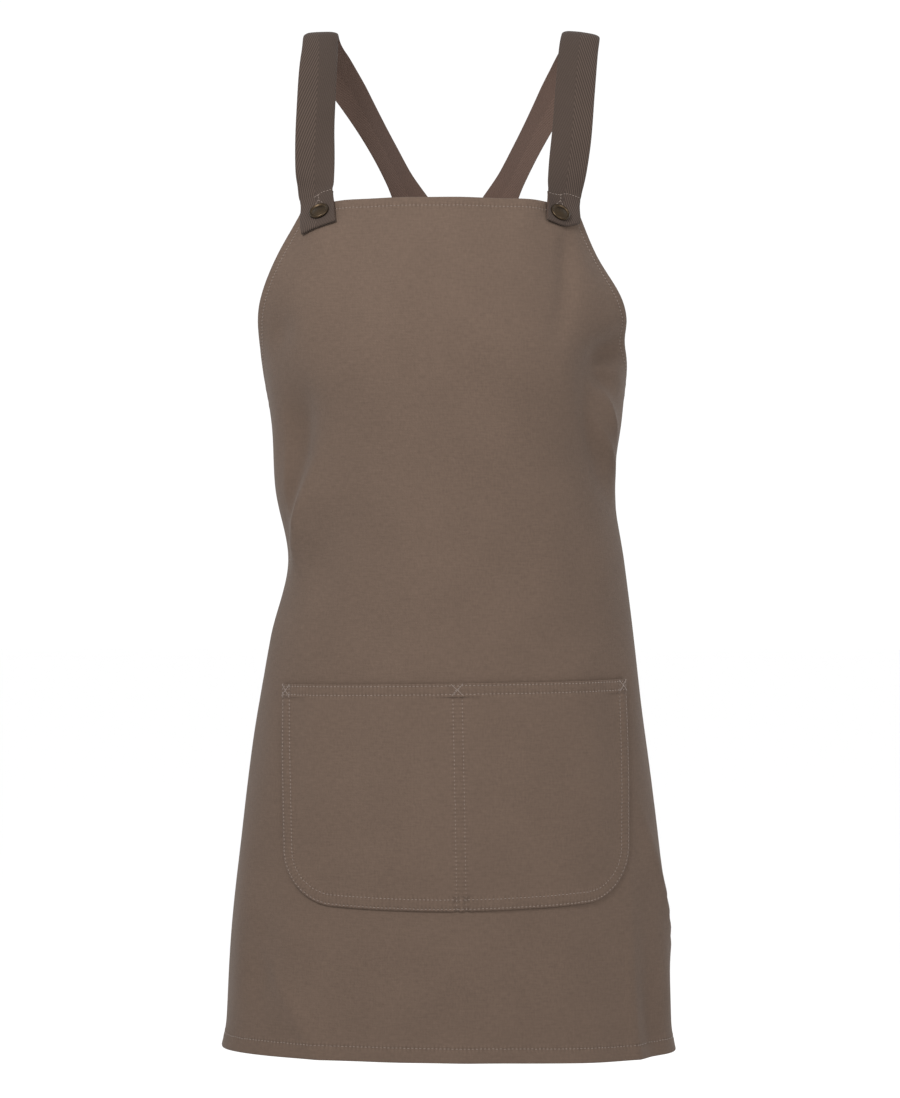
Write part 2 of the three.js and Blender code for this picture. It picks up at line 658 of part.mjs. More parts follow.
for (const [name, seat] of Object.entries(seats)) {
  const matrix = studMatrix(seat);
  const capLift = new THREE.Matrix4().makeTranslation(0, 0, STUD_LIFT);
  const cap = capSolid().applyMatrix4(matrix.clone().multiply(capLift));
  addPiece(`stud_cap_${name}`, cap, brass());
  const ringDrop = new THREE.Matrix4().makeTranslation(0, 0, -CLOTH - RING_GAP - RING_HEIGHT);
  const ring = ringSolid().applyMatrix4(matrix.clone().multiply(ringDrop));
  addPiece(`stud_back_${name}`, ring, brass());
}

export default apron;
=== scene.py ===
# %% [markdown]
# # A cross back apron
# This lesson dresses a short canvas bib apron: one cut piece of cloth, a wide patch pocket, two webbing
# straps that cross at the back, and four brass studs. The solids are already placed at their real size.
# Every visible piece made here stands for one of them and lies where it lies, so the first step is to
# load them as a fixed frame.

# %% Load the solids as a fixed frame
import math

import bpy
import numpy as np
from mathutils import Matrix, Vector


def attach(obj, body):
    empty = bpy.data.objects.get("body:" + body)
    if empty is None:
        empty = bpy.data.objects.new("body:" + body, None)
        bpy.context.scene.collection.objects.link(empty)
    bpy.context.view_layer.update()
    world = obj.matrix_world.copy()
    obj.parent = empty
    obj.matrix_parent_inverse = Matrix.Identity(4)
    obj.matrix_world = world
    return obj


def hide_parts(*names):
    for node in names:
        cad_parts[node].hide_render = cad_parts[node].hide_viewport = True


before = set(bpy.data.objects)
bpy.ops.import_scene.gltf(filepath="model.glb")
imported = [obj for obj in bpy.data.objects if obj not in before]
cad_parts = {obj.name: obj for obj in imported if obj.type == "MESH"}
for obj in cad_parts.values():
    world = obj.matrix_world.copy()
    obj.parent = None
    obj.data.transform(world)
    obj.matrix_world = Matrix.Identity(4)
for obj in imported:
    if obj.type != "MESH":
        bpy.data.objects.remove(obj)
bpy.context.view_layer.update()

BODY = "root"


# %% [markdown]
# ## The camera
# The apron is seen from straight in front, from about three metres away, level with its middle. A long
# lens keeps the sides nearly parallel. The lens is worked out from the height of the view where the
# cloth is, so that the apron fills the frame as it should.

# %% Place the camera
CAMERA_AWAY = 3.0
CAMERA_HEIGHT = -0.4311
VIEW_DISTANCE = 2.94
VIEW_HEIGHT = 0.9004
SENSOR = 36.0

lens_data = bpy.data.cameras.new("view")
lens_data.sensor_fit = "VERTICAL"
lens_data.sensor_height = SENSOR
lens_data.lens = SENSOR * VIEW_DISTANCE / VIEW_HEIGHT
lens_data.clip_end = 100.0
camera = bpy.data.objects.new("view", lens_data)
camera.location = (0.0, -CAMERA_AWAY, CAMERA_HEIGHT)
camera.rotation_euler = (math.pi / 2, 0.0, 0.0)
bpy.context.scene.collection.objects.link(camera)
bpy.context.scene.camera = camera
print("lens", round(lens_data.lens, 1), "mm")

# %% [markdown]
# ## The studio
# The apron hangs in an evenly white room. A white world lights it from every side, which alone would
# flatten every fold. So a key lamp at the upper left shapes the cloth, a weaker one at the right opens
# its shadows, and a broad one behind lights the edges. The floor is a plain pale sheet far below. The
# standard view transform shows colours as they are, which suits a product picture.

# %% Build the studio
FLOOR_HEIGHT = -1.35
FLOOR_SIZE = 60.0
FLOOR_GREY = 0.96
FLOOR_ROUGHNESS = 0.9
WORLD_LIGHT = 1.04


def plain_material(name, colour, roughness):
    material = bpy.data.materials.new(name)
    material.use_nodes = True
    shader = material.node_tree.nodes["Principled BSDF"]
    shader.inputs["Base Color"].default_value = (*colour, 1.0)
    shader.inputs["Roughness"].default_value = roughness
    return material


bpy.ops.mesh.primitive_plane_add(size=FLOOR_SIZE, location=(0.0, 0.0, FLOOR_HEIGHT))
floor = bpy.context.object
floor.name = "floor"
floor.data.materials.append(plain_material("floor_white", (FLOOR_GREY,) * 3, FLOOR_ROUGHNESS))

world = bpy.data.worlds.new("white_room")
world.use_nodes = True
world.node_tree.nodes["Background"].inputs["Color"].default_value = (1.0, 1.0, 1.0, 1.0)
world.node_tree.nodes["Background"].inputs["Strength"].default_value = WORLD_LIGHT
bpy.context.scene.world = world
bpy.context.scene.view_settings.view_transform = "Standard"


def add_lamp(name, place, target, size, power):
    """A round lamp, its size in metres and its power in watts, turned towards a target."""
    data = bpy.data.lights.new(name, "AREA")
    data.shape = "DISK"
    data.size = size
    data.energy = power
    lamp = bpy.data.objects.new(name, data)
    lamp.location = place
    lamp.rotation_euler = (Vector(target) - Vector(place)).to_track_quat("-Z", "Y").to_euler()
    bpy.context.scene.collection.objects.link(lamp)


add_lamp("key", (-0.62, -1.30, 0.62), (0.0, 0.0, -0.25), 0.5, 30.0)
add_lamp("fill", (0.95, -1.50, 0.10), (0.0, 0.0, -0.20), 0.8, 13.0)
add_lamp("back", (1.6, 2.6, 0.8), (0.0, 0.0, -0.4), 1.6, 30.0)

# %% [markdown]
# ## The cut of the cloth and the form it takes
# The apron is cut flat: a bib, two curved armholes, two corners behind the waist called ears, and a
# straight skirt. Worn, the flat piece wraps a rounded body. A short table gives level sections of that
# body as shares of its breadth and depth, and a smooth curve through each column fills in between them.
# This keeps the form easy to change, because one number moves a whole region smoothly.

# %% Sizes of the cloth, in metres
APRON_LENGTH = 0.702
HEM_WIDTH = 0.650
EAR_WIDTH = 0.570
EAR_DROP = 0.265
BIB_WIDTH = 0.242
ARM_BEND = 0.05
WORN_BREADTH = 0.374
WORN_DEPTH = 0.230
BIB_DROP = 0.146
RIGHT_SAG = 0.004

SECTIONS = {
    "fall": (0.00, 0.06, 0.12, 0.18, 0.26, 0.34, 0.43, 0.52, 0.66, 0.83, 1.00),
    "left": (0.411, 0.452, 0.459, 0.424, 0.399, 0.388, 0.358, 0.400, 0.446, 0.489, 0.506),
    "right": (0.367, 0.378, 0.414, 0.398, 0.382, 0.362, 0.387, 0.409, 0.442, 0.474, 0.492),
    "centre": (-0.020, -0.020, -0.018, -0.015, -0.008, 0.0, 0.006, 0.010, 0.012, 0.012, 0.012),
    "front": (-0.425, -0.490, -0.545, -0.570, -0.560, -0.540, -0.530, -0.535, -0.545, -0.555, -0.565),
    "side": (0.00, -0.01, -0.03, -0.05, -0.06, -0.06, -0.05, -0.05, -0.06, -0.07, -0.09),
    "back": (0.40, 0.42, 0.42, 0.41, 0.40, 0.38, 0.37, 0.40, 0.45, 0.50, 0.55),
}


def eased(s, start, end, leave, arrive):
    """From start to end as s goes from 0 to 1, with the slopes that it leaves and arrives with."""
    run = (2 * s**3 - 3 * s**2 + 1) * start + (3 * s**2 - 2 * s**3) * end
    return run + (s**3 - 2 * s**2 + s) * leave + (s**3 - s**2) * arrive


def table_value(table, key, column, at):
    """A smooth curve through one column of a table, read at places in its key column."""
    keys = np.asarray(table[key], float)
    values = np.asarray(table[column], float)
    at = np.asarray(at, float)
    ends = np.diff(values) / np.diff(keys)
    middles = (values[2:] - values[:-2]) / (keys[2:] - keys[:-2])
    slopes = np.concatenate([ends[:1], middles, ends[-1:]])
    row = np.clip(np.searchsorted(keys, at, side="right") - 1, 0, len(keys) - 2)
    span = keys[row + 1] - keys[row]
    s = (at - keys[row]) / span
    return eased(s, values[row], values[row + 1], span * slopes[row], span * slopes[row + 1])


def smooth(value):
    value = np.clip(value, 0.0, 1.0)
    return value * value * (3 - 2 * value)


def within(value, limit, edge):
    """1 up to the limit, then smoothly down to 0 over the width of the edge."""
    return 1 - smooth((value - limit) / edge)


def bell(distance, reach):
    """1 where the distance is 0, and nearly nothing from two reaches on."""
    return np.exp(-((distance / reach) ** 2))


def half_width(down):
    """Half the cut width of the cloth at a distance down from the bib's top."""
    down = np.asarray(down, float)
    s = np.clip(down / EAR_DROP, 0.0, 1.0)
    arm = BIB_WIDTH / 2 + (EAR_WIDTH - BIB_WIDTH) / 2 * ((1 - ARM_BEND) * s + ARM_BEND * s * s)
    share = (down - EAR_DROP) / (APRON_LENGTH - EAR_DROP)
    skirt = EAR_WIDTH / 2 + (HEM_WIDTH - EAR_WIDTH) / 2 * share
    return np.where(down < EAR_DROP, arm, skirt)


print("half widths", [round(float(half_width(d)), 3) for d in (0.0, EAR_DROP, APRON_LENGTH)])

# %% [markdown]
# ## A fine chart of the worn form
# Each section is an oval in two halves, walked from the front to the back. The cloth is laid on it by
# length, so the chart below is indexed by millimetres across and down the flat cut, and holds the point
# in space and the direction that the cloth faces. Reading the chart between its points gives any seam
# or stitch its place straight from the flat pattern.

# %% Chart the form
CHART_STEP = 0.002
CHART_REACH = 0.44
CHART_TOP = -0.08
CHART_SPARE = 0.02
LAST_CELL = 1.001
SECTION_STEPS = 240
HEIGHT_STEPS = 200

chart_down = np.arange(CHART_TOP, APRON_LENGTH + CHART_SPARE, CHART_STEP)
chart_across = np.arange(-CHART_REACH, CHART_REACH + CHART_STEP / 2, CHART_STEP)


def chart_heights(down):
    """Heights down the centre front, where the cloth keeps its cut length."""
    falls = np.linspace(0.0, 1.0, HEIGHT_STEPS + 1)
    forward = np.diff(table_value(SECTIONS, "fall", "front", falls)) * WORN_DEPTH
    run = APRON_LENGTH / HEIGHT_STEPS
    steps = np.sqrt(np.maximum(run * run - forward * forward, 0.0))
    heights = -BIB_DROP - np.concatenate([[0.0], np.cumsum(steps)])
    place = down / APRON_LENGTH * HEIGHT_STEPS
    row = np.clip(np.floor(place).astype(int), 0, HEIGHT_STEPS - 1)
    return heights[row] + (heights[row + 1] - heights[row]) * (place - row)


def chart_form():
    angles = np.linspace(0.0, math.pi, SECTION_STEPS + 1)
    chart = np.zeros((len(chart_down), len(chart_across), 3))
    heights = chart_heights(chart_down)
    middle_column = len(chart_across) // 2
    for row, down in enumerate(chart_down):
        fall = down / APRON_LENGTH
        read = {name: float(table_value(SECTIONS, "fall", name, fall)) for name in SECTIONS}
        centre = read["centre"] * WORN_BREADTH
        front, middle, back = (read[name] * WORN_DEPTH for name in ("front", "side", "back"))
        depth = np.where(np.cos(angles) > 0, front - middle, middle - back)
        y = middle + depth * np.cos(angles)
        for side, edge in ((-1, -read["left"]), (1, read["right"])):
            x = centre + side * abs(edge * WORN_BREADTH - centre) * np.sin(angles)
            length = np.concatenate([[0.0], np.cumsum(np.hypot(np.diff(x), np.diff(y)))])
            columns = slice(0, middle_column + 1) if side < 0 else slice(middle_column, None)
            across = np.abs(chart_across[columns])
            chart[row, columns, 0] = np.interp(across, length, x)
            chart[row, columns, 1] = np.interp(across, length, y)
        sag = RIGHT_SAG * fall**2 * smooth(4 * chart_across / HEM_WIDTH)
        chart[row, :, 2] = heights[row] - sag
    return chart


LEAST_LENGTH = 1e-12


def unit(vectors):
    return vectors / np.maximum(np.linalg.norm(vectors, axis=-1, keepdims=True), LEAST_LENGTH)


def chart_normals(chart):
    lower = np.gradient(chart, axis=0)
    right = np.gradient(chart, axis=1)
    return unit(np.cross(lower, right))


# %% Work out the chart, and read it
form_chart = chart_form()
normal_chart = chart_normals(form_chart)
print("chart", form_chart.shape)


def read_chart(chart, across, down):
    """The chart's value at places on the flat cloth, read between its four nearest points."""
    across, down = np.broadcast_arrays(np.asarray(across, float), np.asarray(down, float))
    column = np.clip((across + CHART_REACH) / CHART_STEP, 0, len(chart_across) - LAST_CELL)
    row = np.clip((down - CHART_TOP) / CHART_STEP, 0, len(chart_down) - LAST_CELL)
    left, top = column.astype(int), row.astype(int)
    s, t = (column - left)[..., None], (row - top)[..., None]
    upper = chart[top, left] * (1 - s) + chart[top, left + 1] * s
    lower = chart[top + 1, left] * (1 - s) + chart[top + 1, left + 1] * s
    return upper * (1 - t) + lower * t


# %% [markdown]
# ## Folds, creases and dents
# Real canvas is a little stiff. It holds broad soft folds, such as the hollows at the waist and the
# flutes of the skirt, and a few sharper creases where it is pulled, such as the one down the centre
# front. Sculpting them by hand would be hard to repeat or change, so a table has a row for each: where
# it starts and ends, as shares of the length and of the half width there, how broad it is and how deep.

# %% Soft folds and sharp creases
FOLD_DEPTH = 0.010
CREASE_DEPTH = 0.015
CREASE_TIP = 0.15

FOLD_COLUMNS = ("start_fall", "end_fall", "start", "end", "breadth", "depth")
FOLDS = [
    (0.46, 1.10, 0.00, 0.00, 0.040, 0.20),
    (0.31, 0.50, -0.42, -0.58, 0.040, 0.42),
    (0.22, 0.38, 0.57, 0.68, 0.036, 0.36),
    (0.14, 0.27, 0.78, 0.68, 0.050, -0.42),
    (0.20, 0.38, -0.60, -0.50, 0.070, -0.42),
    (0.21, 0.36, 0.46, 0.54, 0.060, -0.46),
    (0.00, 0.22, 0.72, 0.42, 0.036, -0.20),
    (-0.03, 0.22, 0.95, 0.385, 0.016, -0.38),
    (0.58, 1.15, -0.60, -0.55, 0.075, 0.30),
    (0.58, 1.15, -0.76, -0.71, 0.060, -0.45),
    (0.66, 1.15, 0.50, 0.48, 0.060, -0.24),
    (0.60, 1.15, 0.66, 0.64, 0.055, 0.42),
    (0.60, 1.15, 0.80, 0.76, 0.055, -0.40),
    (-0.12, 0.13, -1.00, -1.00, 0.050, -0.45),
    (-0.12, 0.13, 1.00, 1.00, 0.050, -0.60),
]
CREASES = [
    (0.48, 1.25, 0.005, 0.030, 0.060, 0.36),
    (0.235, 0.34, 0.57, 0.68, 0.012, 0.35),
    (0.21, 0.31, 0.70, 0.70, 0.012, 0.25),
    (0.27, 0.46, -0.445, -0.54, 0.016, 0.40),
    (0.21, 0.45, -0.73, -0.49, 0.014, 0.28),
    (0.66, 0.98, 0.505, 0.78, 0.014, 0.28),
    (0.70, 1.25, 0.50, 0.475, 0.014, 0.28),
    (0.80, 1.15, -0.64, -0.12, 0.014, 0.22),
]


def soft_profile(aside):
    return bell(aside, 1.0)


def sharp_profile(aside):
    """Comes to a narrow tip, which is rounded just enough to shade well."""
    return np.exp(CREASE_TIP - np.hypot(aside, CREASE_TIP))


def line_height(across, down):
    """The height of all folds and creases. Each one fades in and out along its length."""
    fall = down / APRON_LENGTH
    height = np.zeros(across.shape)
    kinds = ((FOLDS, FOLD_DEPTH, soft_profile), (CREASES, CREASE_DEPTH, sharp_profile))
    for rows, full_depth, profile in kinds:
        for row in rows:
            fold = dict(zip(FOLD_COLUMNS, row))
            share = (fall - fold["start_fall"]) / (fold["end_fall"] - fold["start_fall"])
            share = np.clip(share, 0.0, 1.0)
            middle = (fold["start"] + (fold["end"] - fold["start"]) * share) * half_width(down)
            aside = (across - middle) / (fold["breadth"] * EAR_WIDTH)
            height += fold["depth"] * full_depth * np.sin(math.pi * share) ** 2 * profile(aside)
    return height


print("folds", len(FOLDS), "creases", len(CREASES))

# %% [markdown]
# ## Dents and fine slackness
# A dent is a shallow hollow that runs out in every direction, such as the ones beside the bust. The
# straps pull the cloth under their studs, so it tips there like a small plate. The hem flares a little.
# Very small slow waves over everything keep the surface from looking machined.

# %% Dents, stud tips, hem and waves
DENT_COLUMNS = ("across", "fall", "wide", "tall", "lean", "depth")
DENTS = [
    (0.80, 0.184, 0.055, 0.018, -0.30, -0.70),
    (0.76, 0.203, 0.030, 0.010, -0.10, 0.20),
    (0.72, 0.216, 0.030, 0.014, -0.05, -0.32),
    (0.58, 0.275, 0.026, 0.055, 0.00, -0.45),
    (-0.58, 0.270, 0.036, 0.055, 0.00, -0.50),
    (-0.56, 0.350, 0.020, 0.045, 0.00, -0.32),
    (-0.78, 0.160, 0.030, 0.022, 0.10, -0.25),
    (-0.36, 0.195, 0.120, 0.065, 0.00, 0.30),
    (0.36, 0.195, 0.110, 0.060, 0.00, 0.25),
    (-0.53, 0.905, 0.030, 0.050, 0.00, -0.35),
    (0.56, 0.960, 0.026, 0.090, 0.00, -0.40),
]

STUD_FROM_TOP = 0.013
STUD_FROM_SIDE = 0.0185
TIP_REACH = 0.012
STUD_TIPS = ((-1, -0.20, 0.30), (1, 0.27, 0.36))

LIP_FLARE = 0.0025
LIP_HEIGHT = 0.025
WAVE_HEIGHT = 0.00022
WAVE_COUNT = 14
WAVE_LEAN = 0.35
WAVE_LENGTHS = (0.05, 0.16)
wave_draw = np.random.default_rng(7)
wave_angles = wave_draw.normal(0.0, WAVE_LEAN, WAVE_COUNT)
wave_lengths = wave_draw.uniform(*WAVE_LENGTHS, WAVE_COUNT)
wave_phases = wave_draw.uniform(0.0, 2 * math.pi, WAVE_COUNT)


def fold_height(across, down):
    """How far the folded cloth stands off the plain form."""
    across, down = np.broadcast_arrays(np.asarray(across, float), np.asarray(down, float))
    height = line_height(across, down)
    for row in DENTS:
        dent = dict(zip(DENT_COLUMNS, row))
        right = across - dent["across"] * half_width(down)
        below = down - dent["fall"] * APRON_LENGTH - dent["lean"] * right
        away = (right / (dent["wide"] * EAR_WIDTH)) ** 2 + (below / (dent["tall"] * APRON_LENGTH)) ** 2
        height += dent["depth"] * CREASE_DEPTH * np.exp(-away)
    for side, slope_across, slope_down in STUD_TIPS:
        right = across - side * (BIB_WIDTH / 2 - STUD_FROM_SIDE)
        below = down - STUD_FROM_TOP
        near = np.exp(-(right**2 + below**2) / (2 * TIP_REACH**2))
        height += (slope_across * right + slope_down * below) * near
    lip = np.maximum(0.0, down - APRON_LENGTH + LIP_HEIGHT) / LIP_HEIGHT
    return height + LIP_FLARE * lip * lip


def wave_height(across, down):
    """Slow waves of many lengths and ways, added up."""
    height = 0.0
    for angle, length, phase in zip(wave_angles, wave_lengths, wave_phases):
        way = across * math.cos(angle) + down * math.sin(angle)
        height = height + np.sin(2 * math.pi * way / length + phase)
    return height * WAVE_HEIGHT


# %% A place on the worn cloth
def cloth_normal(across, down):
    return unit(read_chart(normal_chart, across, down))


def cloth_point(across, down, lift):
    """A place on the worn cloth, lifted off its outer face."""
    height = fold_height(across, down) + wave_height(across, down) + lift
    return read_chart(form_chart, across, down) + cloth_normal(across, down) * height[..., None]


FACING_REACH = 0.005


def cloth_facing(across, down):
    """The way that the folded cloth faces at one place."""
    steps = np.array([-FACING_REACH, FACING_REACH])
    left, right = cloth_point(across + steps, np.full(2, down), np.zeros(2))
    upper, lower = cloth_point(np.full(2, across), down + steps, np.zeros(2))
    return unit(np.cross(lower - upper, right - left))


print("deepest fold, mm", round(1000 * float(fold_height(0.17, chart_down).min()), 1))

# %% [markdown]
# ## Turning charts of points into meshes
# Cloth and webbing are thin walls, so one helper serves them all: it takes a grid of outer points and a
# grid of inner points, joins them with quads, and closes the rim. The flat pattern is kept as a texture
# chart in metres, which lets the weave run true along every piece. A second chart can hold how far each
# point lies from the nearest row of stitches, for what the thread does to the cloth beside it.

# %% A helper for thin walls
SHARP_ANGLE = math.radians(55)
PATTERN_CHART = "pattern"
SEAM_CHART = "seam"


def make_mesh(name, vertices, faces, charts=()):
    mesh = bpy.data.meshes.new(name)
    mesh.from_pydata([], [], [])
    mesh.vertices.add(len(vertices))
    mesh.vertices.foreach_set("co", np.asarray(vertices, float).ravel())
    corners = np.concatenate([np.asarray(part).ravel() for part in faces])
    sizes = np.concatenate([np.full(len(part), np.asarray(part).shape[1]) for part in faces])
    mesh.loops.add(len(corners))
    mesh.loops.foreach_set("vertex_index", corners)
    mesh.polygons.add(len(sizes))
    mesh.polygons.foreach_set("loop_start", np.concatenate([[0], np.cumsum(sizes)[:-1]]))
    mesh.polygons.foreach_set("use_smooth", np.ones(len(sizes), bool))
    for chart_name, values in charts:
        chart = mesh.uv_layers.new(name=chart_name)
        chart.data.foreach_set("uv", np.asarray(values, float)[corners].ravel())
    mesh.update(calc_edges=True)
    mesh.validate()
    mesh.set_sharp_from_angle(angle=SHARP_ANGLE)
    thing = bpy.data.objects.new(name, mesh)
    bpy.context.scene.collection.objects.link(thing)
    return thing


def wall_mesh(name, outer, inner, **charts):
    """A closed wall from grids of outer and inner points, rows down and columns across."""
    rows, columns = outer.shape[:2]
    count = rows * columns
    index = np.arange(count).reshape(rows, columns)
    a, b = index[:-1, :-1].ravel(), index[:-1, 1:].ravel()
    c, d = index[1:, :-1].ravel(), index[1:, 1:].ravel()
    front = np.stack([a, c, d, b], 1)
    back = np.stack([a, b, d, c], 1) + count
    loop = np.concatenate([index[0, :-1], index[:-1, -1], index[-1, :0:-1], index[:0:-1, 0]])
    following = np.roll(loop, -1)
    rim = np.stack([loop, following, following + count, loop + count], 1)
    vertices = np.concatenate([outer.reshape(-1, 3), inner.reshape(-1, 3)])
    flat = [(chart, np.tile(values.reshape(-1, 2), (2, 1))) for chart, values in charts.items()]
    return make_mesh(name, vertices, [front, back, rim], flat)


# %% [markdown]
# ## The main cloth panel
# Every edge of the panel is turned under twice and stitched down. The band of turned cloth is a little
# thicker, the seam pulls a shallow groove beside it, and the thread draws up small puckers. All of that
# is a matter of how far a point lies from the nearest edge, so the relief is a function of that
# distance. Grid lines are packed close to the edges, where the relief is, and spaced out elsewhere.

# %% Relief of the hems
CLOTH = 0.0011
SIDE_BAND = 0.0090
SIDE_STITCH = 0.0078
TOP_STITCH = 0.0076
HEM_BAND = 0.0128
HEM_STITCH = 0.0115
BAND_RISE = 0.00035
BAND_STEP = 0.0012
TURN_STEP = 0.0007
GROOVE_DEPTH = 0.00042
GROOVE_BREADTH = 0.0010
EDGE_ROUND = 0.0007
EDGE_REACH = 0.0012
PUCKER_HEIGHT = 0.00030
PUCKER_REACH = 0.0055
PUCKER_LENGTHS = (0.007, 0.019)
PUCKER_WAVES = 5
RIGHT_START = 0.37
SLANT_REACH = 0.001

pucker_draw = np.random.default_rng(11)
pucker_lengths = pucker_draw.uniform(*PUCKER_LENGTHS, PUCKER_WAVES)
pucker_phases = pucker_draw.uniform(0.0, 2 * math.pi, PUCKER_WAVES)


def puckers(along):
    """The uneven ripple that a seam draws up along its length."""
    pairs = zip(pucker_lengths, pucker_phases)
    waves = [np.sin(2 * math.pi * along / length + phase) for length, phase in pairs]
    return sum(waves) / len(waves)


def seam_relief(edge, along, band, stitch):
    """How far the outer face lies off the plain cloth, by its distance from a stitched edge."""
    rise = BAND_RISE * within(edge, band, BAND_STEP)
    groove = -GROOVE_DEPTH * bell(edge - stitch, GROOVE_BREADTH)
    ripple = PUCKER_HEIGHT * puckers(along) * bell(edge - stitch, PUCKER_REACH)
    rounding = -EDGE_ROUND * within(edge, 0.0, EDGE_REACH) ** 2
    return rise + groove + ripple + rounding


# %% The relief of the whole panel
def side_slant(down):
    """How much longer a level step is than one straight away from the side edge."""
    change = half_width(down + SLANT_REACH) - half_width(down - SLANT_REACH)
    slope = change / (2 * SLANT_REACH)
    return np.sqrt(1 + slope**2)


def edge_distances(across, down):
    side = (half_width(down) - np.abs(across)) / side_slant(down)
    return side, down, APRON_LENGTH - down


def panel_relief(across, down):
    side, top, hem = edge_distances(across, down)
    along = down + RIGHT_START * (across > 0)
    relief = seam_relief(side, along, SIDE_BAND, SIDE_STITCH)
    relief += seam_relief(top, across, SIDE_BAND, TOP_STITCH)
    relief += seam_relief(hem, across, HEM_BAND, HEM_STITCH)
    return relief


def panel_inside(across, down):
    """The inner face, one layer down, or two where the hems are turned under."""
    side, top, hem = edge_distances(across, down)
    turned = np.maximum(within(side, SIDE_BAND, TURN_STEP), within(top, SIDE_BAND, TURN_STEP))
    turned = np.maximum(turned, within(hem, HEM_BAND, TURN_STEP))
    edge = np.minimum(np.minimum(side, top), hem)
    rounding = EDGE_ROUND * within(edge, 0.0, EDGE_REACH) ** 2
    return -CLOTH * (1 + turned) + rounding


SIDE_POINTS = 600
side_downs = np.linspace(0.0, APRON_LENGTH, SIDE_POINTS)
side_steps = np.hypot(np.diff(side_downs), np.diff(half_width(side_downs)))
side_lengths = np.concatenate([[0.0], np.cumsum(side_steps)])


def panel_seam(across, down):
    """Distance from the nearest row of stitches, and length along that row."""
    side, top, hem = edge_distances(across, down)
    away = np.abs(np.stack([side - SIDE_STITCH, top - TOP_STITCH, hem - HEM_STITCH]))
    along_side = np.interp(down, side_downs, side_lengths)
    along = np.choose(np.argmin(away, axis=0), [along_side, across, across])
    return np.stack([away.min(axis=0), along], axis=-1)


# %% Build the panel
MM = 0.001
SIDE_LINES = MM * np.array([0.0, 0.5, 1.2, 3.0, 5.0, 6.6, 7.4, 8.2, 9.0, 9.8, 11.5, 14.0, 17.0])
HEM_LINES = MM * np.array(
    [0.0, 0.5, 1.2, 3.5, 6.5, 9.5, 10.8, 11.5, 12.2, 12.9, 13.7, 16.0, 19.0, 22.0]
)
INNER_COLUMNS = 112
INNER_ROWS = 186


def packed_columns(half, lines, count):
    """Places across a piece, close together near both sides and even between them."""
    edge = half - lines
    inner = np.linspace(-1.0, 1.0, count)[None, :] * edge[:, -1:]
    return np.concatenate([-edge[:, :-1], inner, edge[:, :-1][:, ::-1]], axis=1)


def panel_grid():
    inner_rows = np.linspace(SIDE_LINES[-1], APRON_LENGTH - HEM_LINES[-1], INNER_ROWS)
    downs = np.concatenate([SIDE_LINES[:-1], inner_rows, (APRON_LENGTH - HEM_LINES[:-1])[::-1]])
    down = downs[:, None]
    across = packed_columns(half_width(down), SIDE_LINES * side_slant(down), INNER_COLUMNS)
    return across, np.broadcast_to(down, across.shape)


across, down = panel_grid()
panel = wall_mesh(
    "apron_cloth",
    cloth_point(across, down, panel_relief(across, down)),
    cloth_point(across, down, panel_inside(across, down)),
    pattern=np.stack([across, -down], axis=-1),
    seam=panel_seam(across, down),
)
print("panel quads", len(panel.data.polygons))

# %% [markdown]
# ## Canvas
# The cloth is a plain weave cotton canvas in a grey brown. Two crossed waves give the over and under of
# the yarns, a fine noise gives each yarn its slightly different shade, and a broad soft noise keeps the
# whole from being one flat colour. Beside the seams, the second chart says where each stitch pulls up a
# small ridge. The ridges are bumps, and they are also painted lighter and darker in the colour as their
# light and shade. A picture of cloth would do too, but these waves stay sharp at any distance. A little
# sheen on top is what makes it read as cotton.

# %% A small language for building materials
def new_material(name):
    material = bpy.data.materials.new(name)
    material.use_nodes = True
    return material, material.node_tree.nodes, material.node_tree.links


def feed(links, socket, value):
    """Sets a socket to a number, or links it to another socket."""
    if isinstance(value, (int, float)):
        socket.default_value = value
    else:
        links.new(value, socket)


def math_node(nodes, links, operation, first, second=0.0):
    node = nodes.new("ShaderNodeMath")
    node.operation = operation
    feed(links, node.inputs[0], first)
    feed(links, node.inputs[1], second)
    return node.outputs[0]


def chart_axes(nodes, links, name):
    """A chart of the mesh, and its two axes in metres."""
    chart = nodes.new("ShaderNodeUVMap")
    chart.uv_map = name
    split = nodes.new("ShaderNodeSeparateXYZ")
    links.new(chart.outputs["UV"], split.inputs[0])
    return chart.outputs["UV"], split.outputs["X"], split.outputs["Y"]


def weighted_sum(nodes, links, start, parts, weights):
    """The start value, and each named part times its weight added to it."""
    for name, weight in weights.items():
        part = math_node(nodes, links, "MULTIPLY", parts[name], weight)
        start = math_node(nodes, links, "ADD", part, start)
    return start


def noise(nodes, links, place, size, detail=2.0, stretch=(1.0, 1.0, 1.0)):
    mapping = nodes.new("ShaderNodeMapping")
    mapping.inputs["Scale"].default_value = tuple(part / size for part in stretch)
    links.new(place, mapping.inputs["Vector"])
    texture = nodes.new("ShaderNodeTexNoise")
    texture.inputs["Scale"].default_value = 1.0
    texture.inputs["Detail"].default_value = detail
    links.new(mapping.outputs["Vector"], texture.inputs["Vector"])
    return texture.outputs["Fac"]


def ripple(nodes, links, place, pitch):
    """A sine wave along one axis of the pattern."""
    turn = math_node(nodes, links, "MULTIPLY", place, 2 * math.pi / pitch)
    return math_node(nodes, links, "SINE", turn)


def shade(nodes, links, colour, amount):
    """The colour, made lighter and darker by an amount that is 1 on average."""
    scale = nodes.new("ShaderNodeVectorMath")
    scale.operation = "SCALE"
    scale.inputs[0].default_value = colour
    feed(links, scale.inputs["Scale"], amount)
    return scale.outputs[0]


def add_bump(nodes, links, shader, height, distance, strength=1.0):
    bump = nodes.new("ShaderNodeBump")
    bump.inputs["Strength"].default_value = strength
    bump.inputs["Distance"].default_value = distance
    links.new(height, bump.inputs["Height"])
    links.new(bump.outputs["Normal"], shader.inputs["Normal"])


